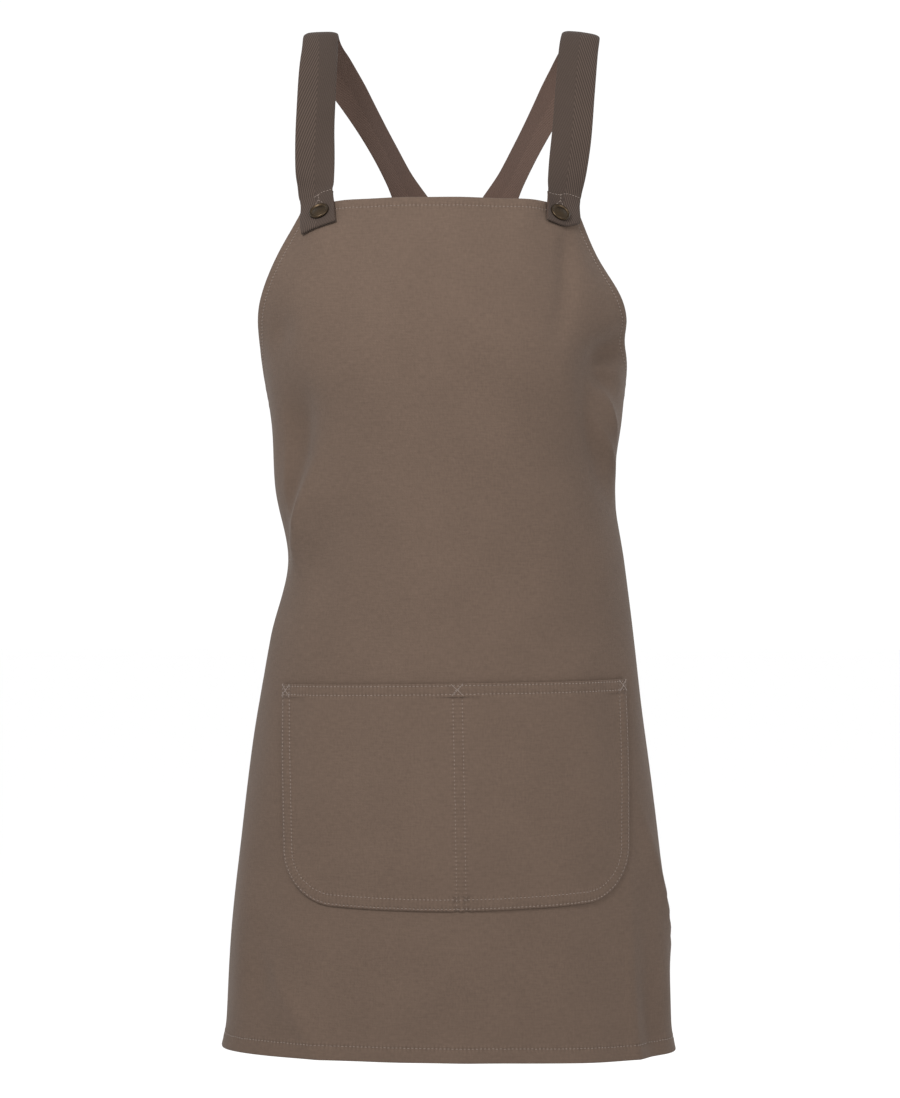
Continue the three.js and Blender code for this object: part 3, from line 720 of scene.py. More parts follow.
# %% The surface that the woven pieces share
CLOTH_SHINE = 0.12
CLOTH_SHEEN = 0.04
SHEEN_ROUGHNESS = 0.5


def cloth_surface(shader, roughness):
    """Matte, with a faint sheen from the fibres that stand off it."""
    shader.inputs["Roughness"].default_value = roughness
    shader.inputs["Specular IOR Level"].default_value = CLOTH_SHINE
    shader.inputs["Sheen Weight"].default_value = CLOTH_SHEEN
    shader.inputs["Sheen Roughness"].default_value = SHEEN_ROUGHNESS


# %% Canvas from crossed yarns
CANVAS_COLOUR = (0.0750, 0.0516, 0.0385)
CANVAS_ROUGHNESS = 0.92
CANVAS_TONE = 0.64
# pulls paints light and shade on the stitch ridges, beside their bump
CANVAS_SHADES = {"grain": 0.30, "cloud": 0.17, "weave": 0.035, "pulls": 0.11}
CANVAS_RELIEF = {"grain": 1.6, "pulls": 1.8}
CANVAS_BUMP = (0.00012, 0.55)
YARN_PITCH = 0.00115
SLUB_SIZE = 0.0016
SLUB_STRETCH = (1.0, 0.35, 1.0)
CROSS_SLUB_SIZE = 0.0014
CROSS_SLUB_STRETCH = (0.20, 1.0, 1.0)
CANVAS_CLOUD = 0.045
CLOUD_DETAIL = 3.0
STITCH_PITCH = 0.0032
PULL_REACH = 0.0024


def seam_pulls(nodes, links):
    """The small even ridges that a row of stitches pulls up in the cloth beside it."""
    _, away, along = chart_axes(nodes, links, SEAM_CHART)
    share = math_node(nodes, links, "DIVIDE", away, PULL_REACH)
    square = math_node(nodes, links, "MULTIPLY", share, share)
    near = math_node(nodes, links, "EXPONENT", math_node(nodes, links, "MULTIPLY", square, -1.0))
    return math_node(nodes, links, "MULTIPLY", ripple(nodes, links, along, STITCH_PITCH), near)


def canvas_material(name, colour):
    material, nodes, links = new_material(name)
    shader = nodes["Principled BSDF"]
    place, across_axis, along_axis = chart_axes(nodes, links, PATTERN_CHART)
    warp = ripple(nodes, links, across_axis, YARN_PITCH)
    weft = ripple(nodes, links, along_axis, YARN_PITCH)
    weave = math_node(nodes, links, "MULTIPLY", warp, weft)
    slub = noise(nodes, links, place, SLUB_SIZE, stretch=SLUB_STRETCH)
    cross_slub = noise(nodes, links, place, CROSS_SLUB_SIZE, stretch=CROSS_SLUB_STRETCH)
    parts = {
        "grain": math_node(nodes, links, "ADD", slub, cross_slub),
        "cloud": noise(nodes, links, place, CANVAS_CLOUD, CLOUD_DETAIL),
        "weave": weave,
        "pulls": seam_pulls(nodes, links),
    }
    tone = weighted_sum(nodes, links, CANVAS_TONE, parts, CANVAS_SHADES)
    links.new(shade(nodes, links, colour, tone), shader.inputs["Base Color"])
    add_bump(nodes, links, shader, weighted_sum(nodes, links, weave, parts, CANVAS_RELIEF), *CANVAS_BUMP)
    cloth_surface(shader, CANVAS_ROUGHNESS)
    return material


canvas = canvas_material("canvas", CANVAS_COLOUR)
panel.data.materials.append(canvas)
print("canvas nodes", len(canvas.node_tree.nodes))

# %% [markdown]
# ## Thread
# A lockstitch shows as a row of short strands that dive into the cloth at both ends. Each strand is a
# small rounded bead of real mesh, bent into the cloth, and all the strands of a piece are joined into
# one mesh made from arrays. That is far lighter than hundreds of objects, and it gives true relief.

# %% A helper for rows of stitches
STITCH_LENGTH = 0.0021
THREAD_RADIUS = 0.00027
THREAD_SIDES = 6
stitch_draw = np.random.default_rng(23)


def strand_template():
    """One strand: rings of points along its length, thin and low at the ends."""
    stations = np.array([-1.0, -0.72, 0.0, 0.72, 1.0])
    girths = np.array([0.35, 0.90, 1.0, 0.90, 0.35])
    depths = np.array([-1.3, 0.1, 0.55, 0.1, -1.3])
    angles = np.linspace(0.0, 2 * math.pi, THREAD_SIDES, endpoint=False)
    along = np.repeat(stations * STITCH_LENGTH / 2, THREAD_SIDES)
    girth = np.repeat(girths, THREAD_SIDES) * THREAD_RADIUS
    turn = np.tile(angles, len(stations))
    depth = np.repeat(depths, THREAD_SIDES) * THREAD_RADIUS
    points = np.stack([along, girth * np.cos(turn), girth * np.sin(turn) + depth], axis=1)
    ring = np.arange(THREAD_SIDES)
    sides = []
    for station in range(len(stations) - 1):
        low = station * THREAD_SIDES + ring
        high = low + THREAD_SIDES
        sides.append(np.stack([low, high, np.roll(high, -1), np.roll(low, -1)], 1))
    last = (len(stations) - 1) * THREAD_SIDES
    caps = np.stack([ring, (ring + last)[::-1]])
    return points, np.concatenate(sides), caps


STRAND, STRAND_SIDES, STRAND_CAPS = strand_template()


FIRST_STITCH = 0.25


def even_steps(points, pitch):
    """Places a stitch apart along a run of points. The first lies part of a stitch in."""
    points = np.asarray(points, float)
    lengths = np.linalg.norm(np.diff(points, axis=0), axis=1)
    way = np.concatenate([[0.0], np.cumsum(lengths)])
    at = np.arange(FIRST_STITCH * pitch, way[-1], pitch)
    return np.stack([np.interp(at, way, points[:, axis]) for axis in range(2)], axis=1)


NUDGE = 0.0004
CROOKED = 0.0001


def strands(surface, path, pitch=STITCH_PITCH, side=1.0):
    """Strands along a path on a flat piece. surface turns flat places into points in space."""
    places = even_steps(path, pitch)
    step = np.gradient(places, axis=0) if len(places) > 1 else np.diff(path[:2], axis=0)
    step = unit(step) * NUDGE
    places = places + stitch_draw.normal(0.0, CROOKED, places.shape)
    x, y = places.T
    here = surface(x, y)
    along = unit(surface(x + step[:, 0], y + step[:, 1]) - here)
    normal = side * unit(np.cross(surface(x, y + NUDGE) - here, surface(x + NUDGE, y) - here))
    over = unit(np.cross(normal, along))
    frame_axes = np.stack([along, over, normal], axis=1)
    return here[:, None] + np.einsum("pa,sac->spc", STRAND, frame_axes)


def thread_mesh(name, groups):
    points = np.concatenate(groups)
    count, size = points.shape[:2]
    offsets = (np.arange(count) * size)[:, None, None]
    sides = (STRAND_SIDES[None] + offsets).reshape(-1, 4)
    caps = (STRAND_CAPS[None] + offsets).reshape(-1, THREAD_SIDES)
    thing = make_mesh(name, points.reshape(-1, 3), [sides, caps])
    print(name, "strands", count)
    return thing


# %% Thread colour and the panel's rows
THREAD_COLOUR = (0.118, 0.086, 0.069)
THREAD_TONE = 0.75
THREAD_SHADES = {"twist": 0.5}
THREAD_BUMP = (0.0001, 0.5)
THREAD_ROUGHNESS = 0.7
THREAD_SHEEN = 0.3
TWIST_SIZE = 0.0007
INSIDE_SINK = 0.0001
ROW_INSET = 0.003
PATH_POINTS = 260


def thread_material(name, colour):
    material, nodes, links = new_material(name)
    shader = nodes["Principled BSDF"]
    place = nodes.new("ShaderNodeTexCoord").outputs["Object"]
    twist = noise(nodes, links, place, TWIST_SIZE, 1.0)
    tone = weighted_sum(nodes, links, THREAD_TONE, {"twist": twist}, THREAD_SHADES)
    links.new(shade(nodes, links, colour, tone), shader.inputs["Base Color"])
    add_bump(nodes, links, shader, twist, *THREAD_BUMP)
    shader.inputs["Roughness"].default_value = THREAD_ROUGHNESS
    shader.inputs["Sheen Weight"].default_value = THREAD_SHEEN
    return material


thread = thread_material("thread", THREAD_COLOUR)


def panel_outside(across, down):
    return cloth_point(across, down, panel_relief(across, down))


def panel_back(across, down):
    return cloth_point(across, down, panel_inside(across, down) - INSIDE_SINK)


def side_path(side, inset):
    downs = np.linspace(0.0, APRON_LENGTH - ROW_INSET, PATH_POINTS)
    return np.stack([side * (half_width(downs) - inset * side_slant(downs)), downs], axis=1)


def level_path(down, half):
    """A level row of whole stitches, even to both sides of the middle."""
    reach = math.floor(half / STITCH_PITCH) * STITCH_PITCH
    return np.array([[-reach, down], [reach, down]])


panel_paths = [side_path(-1, SIDE_STITCH), side_path(1, SIDE_STITCH)]
for row in (TOP_STITCH, APRON_LENGTH - HEM_STITCH):
    panel_paths.append(level_path(row, float(half_width(row)) - ROW_INSET))
panel_strands = [strands(panel_outside, path) for path in panel_paths]
panel_strands += [strands(panel_back, path, side=-1.0) for path in panel_paths]
panel_thread = thread_mesh("hem_stitches", panel_strands)
panel_thread.data.materials.append(thread)

# %% [markdown]
# ## The patch pocket
# The pocket is one wide patch, open at the top, with rounded lower corners and a seam down its middle.
# Its top edge is a folded band that stands proud and ends in a clear step. Two rows of stitching hold
# the sides and the bottom, and pull the patch down onto the panel, so between the seams it swells a
# little. The distance to the rounded outline drives the relief, just as on the panel.

# %% Sizes of the pocket
POCKET_TOP_WIDTH = 0.313
POCKET_BASE_WIDTH = 0.296
POCKET_HEIGHT = 0.182
POCKET_DROP = 0.3985
POCKET_SHIFT = 0.0015
POCKET_CORNER = 0.042
POCKET_TILT = math.radians(1.0)
POCKET_BOW = 0.0085
POCKET_BAND = 0.0105
BAND_RAISE = 0.0009
POCKET_BASE = 0.0004
POCKET_FACE = 0.0018
POCKET_SWELL = 0.0011
EDGE_ROWS = (0.0017, 0.0092)
BAND_ROWS = (0.0018, 0.0088)
DIVIDER_ROWS = (-0.0037, 0.0037)


def pocket_half(below):
    return (POCKET_TOP_WIDTH + (POCKET_BASE_WIDTH - POCKET_TOP_WIDTH) * below / POCKET_HEIGHT) / 2


def pocket_edge(aside, below):
    """Distance in from the pocket's sides and rounded bottom."""
    side = pocket_half(below) - np.abs(aside)
    bottom = POCKET_HEIGHT - below
    inward, upward = (np.maximum(POCKET_CORNER - away, 0) for away in (side, bottom))
    in_corner = (side < POCKET_CORNER) & (bottom < POCKET_CORNER)
    return np.where(in_corner, POCKET_CORNER - np.hypot(inward, upward), np.minimum(side, bottom))


def pocket_place(aside, below):
    """A place on the pocket's own chart, put on the panel. The bottom bows up towards both sides."""
    below = below - POCKET_BOW * (2 * aside / POCKET_TOP_WIDTH) ** 2 * smooth(below / POCKET_HEIGHT)
    across = POCKET_SHIFT + aside * math.cos(POCKET_TILT) + below * math.sin(POCKET_TILT)
    return across, POCKET_DROP + below * math.cos(POCKET_TILT) - aside * math.sin(POCKET_TILT)


# %% Relief of the pocket
TURNED_BAND = 0.0105
TURNED_STEP = 0.0015
TURNED_RISE = 0.00045
MOUTH_STEP = 0.0008
DIVIDER_STEP = 0.0030
DIVIDER_SINK = 0.00030
SWELL_FROM_MIDDLE = 0.004
SWELL_FROM_EDGE = 0.01
SWELL_EASE = 0.03
PULLED_DEPTH = 0.00040
MOST_PULLED = 1.2
SIDE_FROM = 0.12
POCKET_PUCKER = 0.00028
PUCKER_START = 0.2
PUCKER_FROM_EDGE = 0.006
EDGE_PUCKERS = 0.008
MIDDLE_PUCKERS = 0.009
POCKET_ROUND = 0.0009
POCKET_ROUND_REACH = 0.0013
MOUTH_BEYOND = 0.0004


def pocket_relief(aside, below):
    """How far the pocket's face lies off the panel's plain cloth."""
    from_middle = np.abs(aside)
    edge = pocket_edge(aside, below)
    turned_in = within(edge, TURNED_BAND, TURNED_STEP)
    band = within(below, POCKET_BAND, MOUTH_STEP)
    lift = np.full(np.shape(edge), POCKET_FACE)
    lift += TURNED_RISE * turned_in * (1 - band) + BAND_RAISE * band
    bag = smooth((from_middle - SWELL_FROM_MIDDLE) / SWELL_EASE)
    bag = bag * smooth((edge - SWELL_FROM_EDGE) / SWELL_EASE)
    lift += POCKET_SWELL * (1 - turned_in) * (1 - band) * bag
    lift -= DIVIDER_SINK * within(from_middle, DIVIDER_ROWS[1], DIVIDER_STEP) * (1 - band)
    pulled = [bell(edge - row, GROOVE_BREADTH) for row in EDGE_ROWS]
    pulled += [bell(below - row, GROOVE_BREADTH) for row in BAND_ROWS]
    pulled += [bell(aside - row, GROOVE_BREADTH) * (1 - band) for row in DIVIDER_ROWS]
    lift -= PULLED_DEPTH * np.minimum(sum(pulled), MOST_PULLED)
    along = np.where(from_middle > SIDE_FROM, below, aside)
    near = bell(edge - PUCKER_FROM_EDGE, EDGE_PUCKERS) + bell(aside, MIDDLE_PUCKERS) * (1 - band)
    lift += POCKET_PUCKER * puckers(along + PUCKER_START) * near
    rim = np.minimum(edge, below + MOUTH_BEYOND)
    return lift - POCKET_ROUND * within(rim, 0.0, POCKET_ROUND_REACH) ** 2


def pocket_seam(aside, below):
    """Distance from the nearest row of stitches, and length along that row."""
    edge = pocket_edge(aside, below)
    straight, arm = POCKET_HEIGHT - POCKET_CORNER, pocket_half(below) - POCKET_CORNER
    turn = np.arctan2(np.maximum(below - straight, 0), np.maximum(np.abs(aside) - arm, 0))
    round_edge = np.minimum(below, straight) + turn * POCKET_CORNER
    round_edge = round_edge + np.maximum(arm - np.abs(aside), 0)
    away = [edge - row for row in EDGE_ROWS] + [below - row for row in BAND_ROWS]
    away = np.abs(np.stack(away + [aside - row for row in DIVIDER_ROWS]))
    runs = [round_edge, round_edge, aside, aside, below, below]
    return np.stack([away.min(axis=0), np.choose(np.argmin(away, axis=0), runs)], axis=-1)


def pocket_outside(aside, below):
    across, down = pocket_place(aside, below)
    return cloth_point(across, down, pocket_relief(aside, below))


# %% Build the pocket
MOUTH_LINES = MM * np.array(
    [0.0, 0.4, 1.0, 1.8, 2.8, 4.5, 6.5, 8.0, 8.8, 9.6, 10.5, 10.9, 11.4, 12.5, 15.0]
)
POCKET_LINES = MM * np.array([0.0, 0.5, 1.2, 2.0, 3.0, 5.0, 7.5, 8.5, 9.3, 10.2, 11.5, 13.0])
EVEN_FROM = 0.0175
POCKET_COLUMNS = 132
CORNER_ROWS = 26
STRAIGHT_ROWS = 58


def pocket_grid():
    straight = np.linspace(EVEN_FROM, POCKET_HEIGHT - POCKET_CORNER, STRAIGHT_ROWS, endpoint=False)
    angles = np.linspace(0.0, math.pi / 2, CORNER_ROWS)
    curved = POCKET_HEIGHT - POCKET_CORNER + POCKET_CORNER * np.sin(angles)
    below = np.concatenate([MOUTH_LINES, straight, curved])
    half = pocket_half(below)
    half[-CORNER_ROWS:] -= POCKET_CORNER * (1 - np.cos(angles))
    aside = packed_columns(half[:, None], POCKET_LINES, POCKET_COLUMNS)
    return aside, np.broadcast_to(below[:, None], aside.shape)


aside, below = pocket_grid()
across, down = pocket_place(aside, below)
pocket = wall_mesh(
    "pocket_cloth",
    pocket_outside(aside, below),
    cloth_point(across, down, np.full(across.shape, POCKET_BASE)),
    pattern=np.stack([across, -down], axis=-1),
    seam=pocket_seam(aside, below),
)
pocket.data.materials.append(canvas)
print("pocket quads", len(pocket.data.polygons))

# %% Stitch the pocket
OUTLINE_POINTS = (40, 24)
DIVIDER_SHORT = 0.001
MOUTH_LEVEL = 0.005
TACK_INSET = 0.0052
TACK_REACH = 0.0042
TACK_PITCH = 0.0022
TACK_SHIFT = 0.0002


def pocket_outline(inset):
    """The pocket's stitched way: down the left side, round the bottom and up the right side."""
    straight = np.linspace(0.0, POCKET_HEIGHT - POCKET_CORNER, OUTLINE_POINTS[0])
    angles = np.linspace(0.0, math.pi / 2, OUTLINE_POINTS[1])
    radius = POCKET_CORNER - inset
    below = np.concatenate([straight, POCKET_HEIGHT - POCKET_CORNER + radius * np.sin(angles)])
    shift = np.concatenate([np.full(len(straight), inset), POCKET_CORNER - radius * np.cos(angles)])
    half = pocket_half(below) - shift
    left = np.stack([-half, below], axis=1)
    right = np.stack([half, below], axis=1)[::-1]
    return np.concatenate([left, right])


pocket_paths = [pocket_outline(row) for row in EDGE_ROWS]
for row in BAND_ROWS:
    pocket_paths.append(level_path(row, float(pocket_half(row))))
divider_start = math.ceil(POCKET_BAND / STITCH_PITCH) * STITCH_PITCH
for row in DIVIDER_ROWS:
    pocket_paths.append(np.array([[row, divider_start], [row, POCKET_HEIGHT - DIVIDER_SHORT]]))


def tack_paths():
    """A small cross of thread at each end of the pocket's mouth and at its middle."""
    paths = []
    for side in (-1, 0, 1):
        middle = np.array([side * (float(pocket_half(MOUTH_LEVEL)) - TACK_INSET), TACK_INSET])
        for slope in (-1, 1):
            arm = TACK_REACH * np.array([1, slope])
            paths.append(np.array([middle - arm, middle + arm]))
    return paths


pocket_strands = [strands(pocket_outside, path) for path in pocket_paths]
for path in tack_paths():
    for shift in (-TACK_SHIFT, TACK_SHIFT):
        pocket_strands.append(strands(pocket_outside, path + shift, TACK_PITCH))
back_rows = [np.stack(pocket_place(path[:, 0], path[:, 1]), axis=1) for path in pocket_paths]
pocket_strands += [strands(panel_back, path, side=-1.0) for path in back_rows]
pocket_thread = thread_mesh("pocket_stitches", pocket_strands)
pocket_thread.data.materials.append(thread)

# %% [markdown]
# ## The straps
# Each strap is a length of webbing that starts flat on a corner of the bib, climbs over the shoulder,
# crosses the other strap at the back, and ends on the ear at the far side. One smooth curve through a
# few chosen places gives its middle line. The face of the webbing is turned about that line: it lies
# on the cloth at both ends, and rolls over behind the shoulder. A table gives that roll, and the soft
# crease beside the inner half, at stations along the strap. Bending a flat strip with a curve modifier
# is quicker, but then neither end would lie on the folded cloth.

# %% Sizes and route of the straps
STRAP_WIDTH = 0.033
WEBBING = 0.0014
STRAP_TURN = 0.035
STRAP_BELOW_STUD = 0.015
SHOULDER_WIDTH = 0.218
FRONT_LEAN = {"left": math.radians(11), "right": math.radians(6)}
FRONT_SHIFT = {"left": 0.0025, "right": 0.0040}
BACK_DEPTH = 0.097
CROSS_DROP = 0.202
CROSS_SHIFT = 0.0048
EAR_STUD_FROM_TOP = 0.018
EAR_STUD_FROM_SIDE = 0.022
LAY_GAP = 0.00085
CROSS_GAP = 0.0009
STRAP_LIFT = LAY_GAP + 1.5 * WEBBING

FRONT_LEG = {
    "rise": (0.10, 0.32, 0.60, 0.86),
    "ahead": (0.97, 0.87, 0.66, 0.35),
    "left": (0.004, 0.004, 0.000, -0.002),
    "right": (0.002, 0.004, 0.000, -0.002),
}
BACK_LEG = {
    "drop": (0.10, 0.24, 0.44, 0.62),
    "reach": (0.36, 0.60, 0.80, 0.91),
    "left": (0.08, 0.25, 0.46, 0.63),
    "right": (0.05, 0.21, 0.42, 0.60),
}
LOWER_LEG = {"along": (0.22, 0.52, 0.80), "swell": (0.035, 0.070, 0.050)}
STRAP_TURNS = {
    "leg": (0.00, 0.20, 0.50, 0.85, 1.00, 1.25, 1.60, 1.82, 2.00, 3.00),
    "roll_left": (0, 0, 0, 0, 6, 44, 52, 3, 0, 0),
    "roll_right": (0, 3, 6, 8, 9, 44, 50, 3, 0, 0),
    "crease_left": (0, 18, 25, 22, 6, 0, 0, 0, 0, 0),
    "crease_right": (0, 10, 16, 12, 4, 0, 0, 0, 0, 0),
}
print("strap sections in the table", len(STRAP_TURNS["leg"]))


# %% Where the strap ends lie
def side_name(side):
    return "left" if side < 0 else "right"


def stud_seat(across, down, lean, toward, shift):
    """A stud's seat. shift is how far the strap's middle lies off the stud."""
    return {
        "across": across,
        "down": down,
        "shift": shift,
        "up": (math.sin(lean), -math.cos(lean)),
        "aside": (toward * math.cos(lean), toward * math.sin(lean)),
    }


def front_seat(side):
    name = side_name(side)
    across = side * (BIB_WIDTH / 2 - STUD_FROM_SIDE)
    return stud_seat(across, STUD_FROM_TOP, side * FRONT_LEAN[name], 1, side * FRONT_SHIFT[name])


def rear_seat(side):
    across = side * (EAR_WIDTH / 2 - EAR_STUD_FROM_SIDE)
    down = EAR_DROP + EAR_STUD_FROM_TOP
    x, y, z = read_chart(form_chart, across, down)
    over = math.hypot(x - CROSS_SHIFT, y - BACK_DEPTH)
    return stud_seat(across, down, side * math.atan2(over, -CROSS_DROP - z), -1, 0.0)


SEATS = {
    "front_left": front_seat(-1),
    "front_right": front_seat(1),
    "rear_left": rear_seat(-1),
    "rear_right": rear_seat(1),
}


def seat_place(seat, along, aside):
    """A place on the cloth under a strap's end, measured up the strap from its very end."""
    up, over = along - STRAP_BELOW_STUD, aside + seat["shift"]
    across = seat["across"] + up * seat["up"][0] + over * seat["aside"][0]
    down = seat["down"] + up * seat["up"][1] + over * seat["aside"][1]
    return across, down


def seat_point(seat, along, aside, lift):
    along, aside, lift = np.broadcast_arrays(np.asarray(along, float), aside, lift)
    return cloth_point(*seat_place(seat, along, aside), lift)


LAY_POINTS = 5
LAY_SPARE = 0.006
LAY_STEP = 0.001


def lay_length(seat):
    """How much of a strap's end lies on the cloth before both its edges have passed over."""
    along = STRAP_BELOW_STUD
    asides = np.linspace(-1.0, 1.0, LAY_POINTS) * STRAP_WIDTH / 2
    while True:
        across, down = seat_place(seat, along, asides)
        if not np.any((down > 0) & (np.abs(across) < half_width(down))):
            return along + LAY_SPARE
        along += LAY_STEP


print("strap ends lie on", {name: round(lay_length(seat), 3) for name, seat in SEATS.items()})

# %% A smooth curve through the route
CURVE_STEPS = 40


def smooth_curve(points):
    """A curve through all the points that never overshoots, as many close points."""
    points = np.asarray(points, float)
    points = np.concatenate([[2 * points[0] - points[1]], points, [2 * points[-1] - points[-2]]])
    run = []
    for p0, p1, p2, p3 in zip(points, points[1:], points[2:], points[3:]):
        d0, d1, d2 = (np.linalg.norm(b - a) ** 0.5 for a, b in ((p0, p1), (p1, p2), (p2, p3)))
        leave = ((p1 - p0) / d0 - (p2 - p0) / (d0 + d1) + (p2 - p1) / d1) * d1
        arrive = ((p2 - p1) / d1 - (p3 - p1) / (d1 + d2) + (p3 - p2) / d2) * d1
        s = np.linspace(0.0, 1.0, CURVE_STEPS, endpoint=False)[:, None]
        run.append(eased(s, p1, p2, leave, arrive))
    return np.concatenate(run + [points[-2:-1]])


def strap_route(side, layer):
    """The chosen places that a strap's middle line passes through."""
    name = side_name(side)
    front, rear = SEATS["front_" + name], SEATS["rear_" + side_name(-side)]
    lay, rear_lay = lay_length(front), lay_length(rear)
    points = [seat_point(front, share * lay, 0.0, STRAP_LIFT) for share in (0.0, 0.5, 1.0)]
    edge = points[-1]
    shoulder = np.array([side * SHOULDER_WIDTH / 2, 0.0, 0.0])
    for rise, ahead, bow in zip(FRONT_LEG["rise"], FRONT_LEG["ahead"], FRONT_LEG[name]):
        x = edge[0] + (shoulder[0] - edge[0]) * rise + side * bow * SHOULDER_WIDTH
        points.append(np.array([x, edge[1] * ahead, edge[2] * (1 - rise)]))
    points.append(shoulder)
    offset = layer * (WEBBING + CROSS_GAP) / 2
    for drop, reach, over in zip(BACK_LEG["drop"], BACK_LEG["reach"], BACK_LEG[name]):
        x = shoulder[0] + (CROSS_SHIFT - shoulder[0]) * over
        points.append(np.array([x, BACK_DEPTH * reach + offset * drop, -CROSS_DROP * drop]))
    crossing = np.array([CROSS_SHIFT, BACK_DEPTH + offset, -CROSS_DROP])
    points.append(crossing)
    ear = seat_point(rear, rear_lay, 0.0, STRAP_LIFT)
    for along, swell in zip(LOWER_LEG["along"], LOWER_LEG["swell"]):
        points.append(crossing + (ear - crossing) * along + np.array([0.0, swell * BACK_DEPTH, 0.0]))
    points += [seat_point(rear, share * rear_lay, 0.0, STRAP_LIFT) for share in (1.0, 0.5, 0.0)]
    return points, front, rear, shoulder, crossing


# %% [markdown]
# ## The face of a strap
# A line has no width, so three things turn it into a face. The ends take the cloth's own form and blend
# into the free part. The free part is turned by the table and bent along its crease. Over the shoulder
# its outer edge is drawn in and down, and behind the neck its inner edge is, as loaded webbing does.

# %% How a strap is bent across its width
CREASE_ROUND = 0.0015
CUP_REACH = 0.035
CUP_POWER = 6
SHOULDER_CUP = 0.0022
SHOULDER_PROUD = 0.0010
SHOULDER_TUCK = {"left": 0.0034, "right": 0.0}
NECK_TUCK = 0.0032
NECK_BEHIND = 0.022
NECK_REACH = 0.022


def strap_bend(side, aside, past_top, crease):
    """Where a place across a strap comes to lie, beside the middle line and off it."""
    inward = -side * aside
    inward = (inward + np.hypot(inward, CREASE_ROUND) - CREASE_ROUND) / 2
    share = side * aside / (STRAP_WIDTH / 2)
    top = bell(past_top, CUP_REACH)
    outer_tuck = SHOULDER_TUCK[side_name(side)] * top * np.maximum(share, 0.0)
    inner_tuck = NECK_TUCK * bell(past_top - NECK_BEHIND, NECK_REACH) * np.maximum(-share, 0.0)
    drawn = aside + side * (inward * (1 - np.cos(crease)) - outer_tuck + inner_tuck)
    height = top * (SHOULDER_PROUD - SHOULDER_CUP * share**CUP_POWER) - inward * np.sin(crease)
    return drawn, height


# %% The face of a strap along its line
FRONT_EASE = 0.070
REAR_EASE = 0.150
CURL_EASE = 0.025
BLEND_REACH = 0.011
SIDEWAYS = np.array([1.0, 0.0, 0.0])


def seat_curl(seat, face, aside):
    """How far the cloth under a stud curves away beside it."""
    here = seat_point(seat, STRAP_BELOW_STUD, 0.0, 0.0)
    return (seat_point(seat, STRAP_BELOW_STUD, aside, 0.0) - here) @ face


def strap_form(side, layer):
    """A function that turns places on a strap, along, aside and lifted, into points in space."""
    points, front, rear, shoulder, crossing = strap_route(side, layer)
    line = smooth_curve(points)
    way = np.concatenate([[0.0], np.cumsum(np.linalg.norm(np.diff(line, axis=0), axis=1))])
    length = way[-1]
    lay, rear_lay = lay_length(front), lay_length(rear)
    tangents = unit(np.gradient(line, way, axis=0))
    front_face, rear_face = (cloth_facing(seat["across"], seat["down"]) for seat in (front, rear))
    at_top, at_crossing = (
        way[np.argmin(np.linalg.norm(line - mark, axis=1))] for mark in (shoulder, crossing)
    )

    def read(values, along):
        return np.stack([np.interp(along, way, values[:, axis]) for axis in range(3)], axis=-1)

    def turn(kind, along):
        leg = np.interp(along, [lay, at_top, at_crossing, length - rear_lay], [0.0, 1.0, 2.0, 3.0])
        return np.radians(table_value(STRAP_TURNS, "leg", f"{kind}_{side_name(side)}", leg))

    def free(along, aside, lift):
        middle, travel = read(line, along), unit(read(tangents, along))
        normal = unit(np.cross(SIDEWAYS, travel))
        near_front = within(along, lay, FRONT_EASE)[..., None]
        near_rear = within(length - along, rear_lay, REAR_EASE)[..., None]
        normal = normal * (1 - near_front - near_rear)
        normal = normal + front_face * near_front + rear_face * near_rear
        normal = unit(normal - travel * np.sum(normal * travel, axis=-1, keepdims=True))
        roll = (side * turn("roll", along))[..., None]
        normal = normal * np.cos(roll) + np.cross(travel, normal) * np.sin(roll)
        drawn, height = strap_bend(side, aside, along - at_top, turn("crease", along))
        height = height + lift
        height = height + seat_curl(front, front_face, aside) * within(along, lay, CURL_EASE)
        height = height + seat_curl(rear, rear_face, aside) * within(length - along, rear_lay, CURL_EASE)
        return middle + np.cross(travel, normal) * drawn[..., None] + normal * height[..., None]

    def end(seat, reach, lay_end, aside, lift, loose):
        """Lies on the cloth up to the lay's end, and blends into the free part there."""
        laid = seat_point(seat, np.minimum(reach, lay_end + BLEND_REACH), aside, STRAP_LIFT + lift)
        leave = smooth((reach - lay_end + BLEND_REACH) / (2 * BLEND_REACH))[..., None]
        return laid * (1 - leave) + loose * leave

    def place(along, aside, lift):
        parts = (np.asarray(part, float) for part in (along, aside, lift))
        along, aside, lift = np.broadcast_arrays(*parts)
        loose = free(np.clip(along, 0.0, length), aside, lift)
        first = end(front, along, lay, aside, lift, loose)
        last = end(rear, length - along, rear_lay, aside, lift, loose)
        return np.where((along < length / 2)[..., None], first, last)

    return place, length


# %% [markdown]
# ## Webbing with folded ends
# The webbing runs as one ribbon: it starts under the strap's end, turns round in a tight fold, runs the
# whole length and folds under again at the far end. Each station of the ribbon is a pair of points, one
# on each face, so the fold is only a half circle of such pairs. The long edges are slightly rounded. No
# end is folded quite square, so a few small slants and pulls are added to it.

# %% The ribbon and its folds
RIBBON_STEP = 0.003
HALF_SECTION = np.array([0.0, 0.06, 0.13, 0.22, 0.36, 0.52, 0.68, 0.82, 0.92, 0.97, 0.99, 1.0])
SECTION_POINTS = np.concatenate([-HALF_SECTION[:0:-1], HALF_SECTION])
FOLD_STEPS = 8
FOLD_SLIT = 0.06


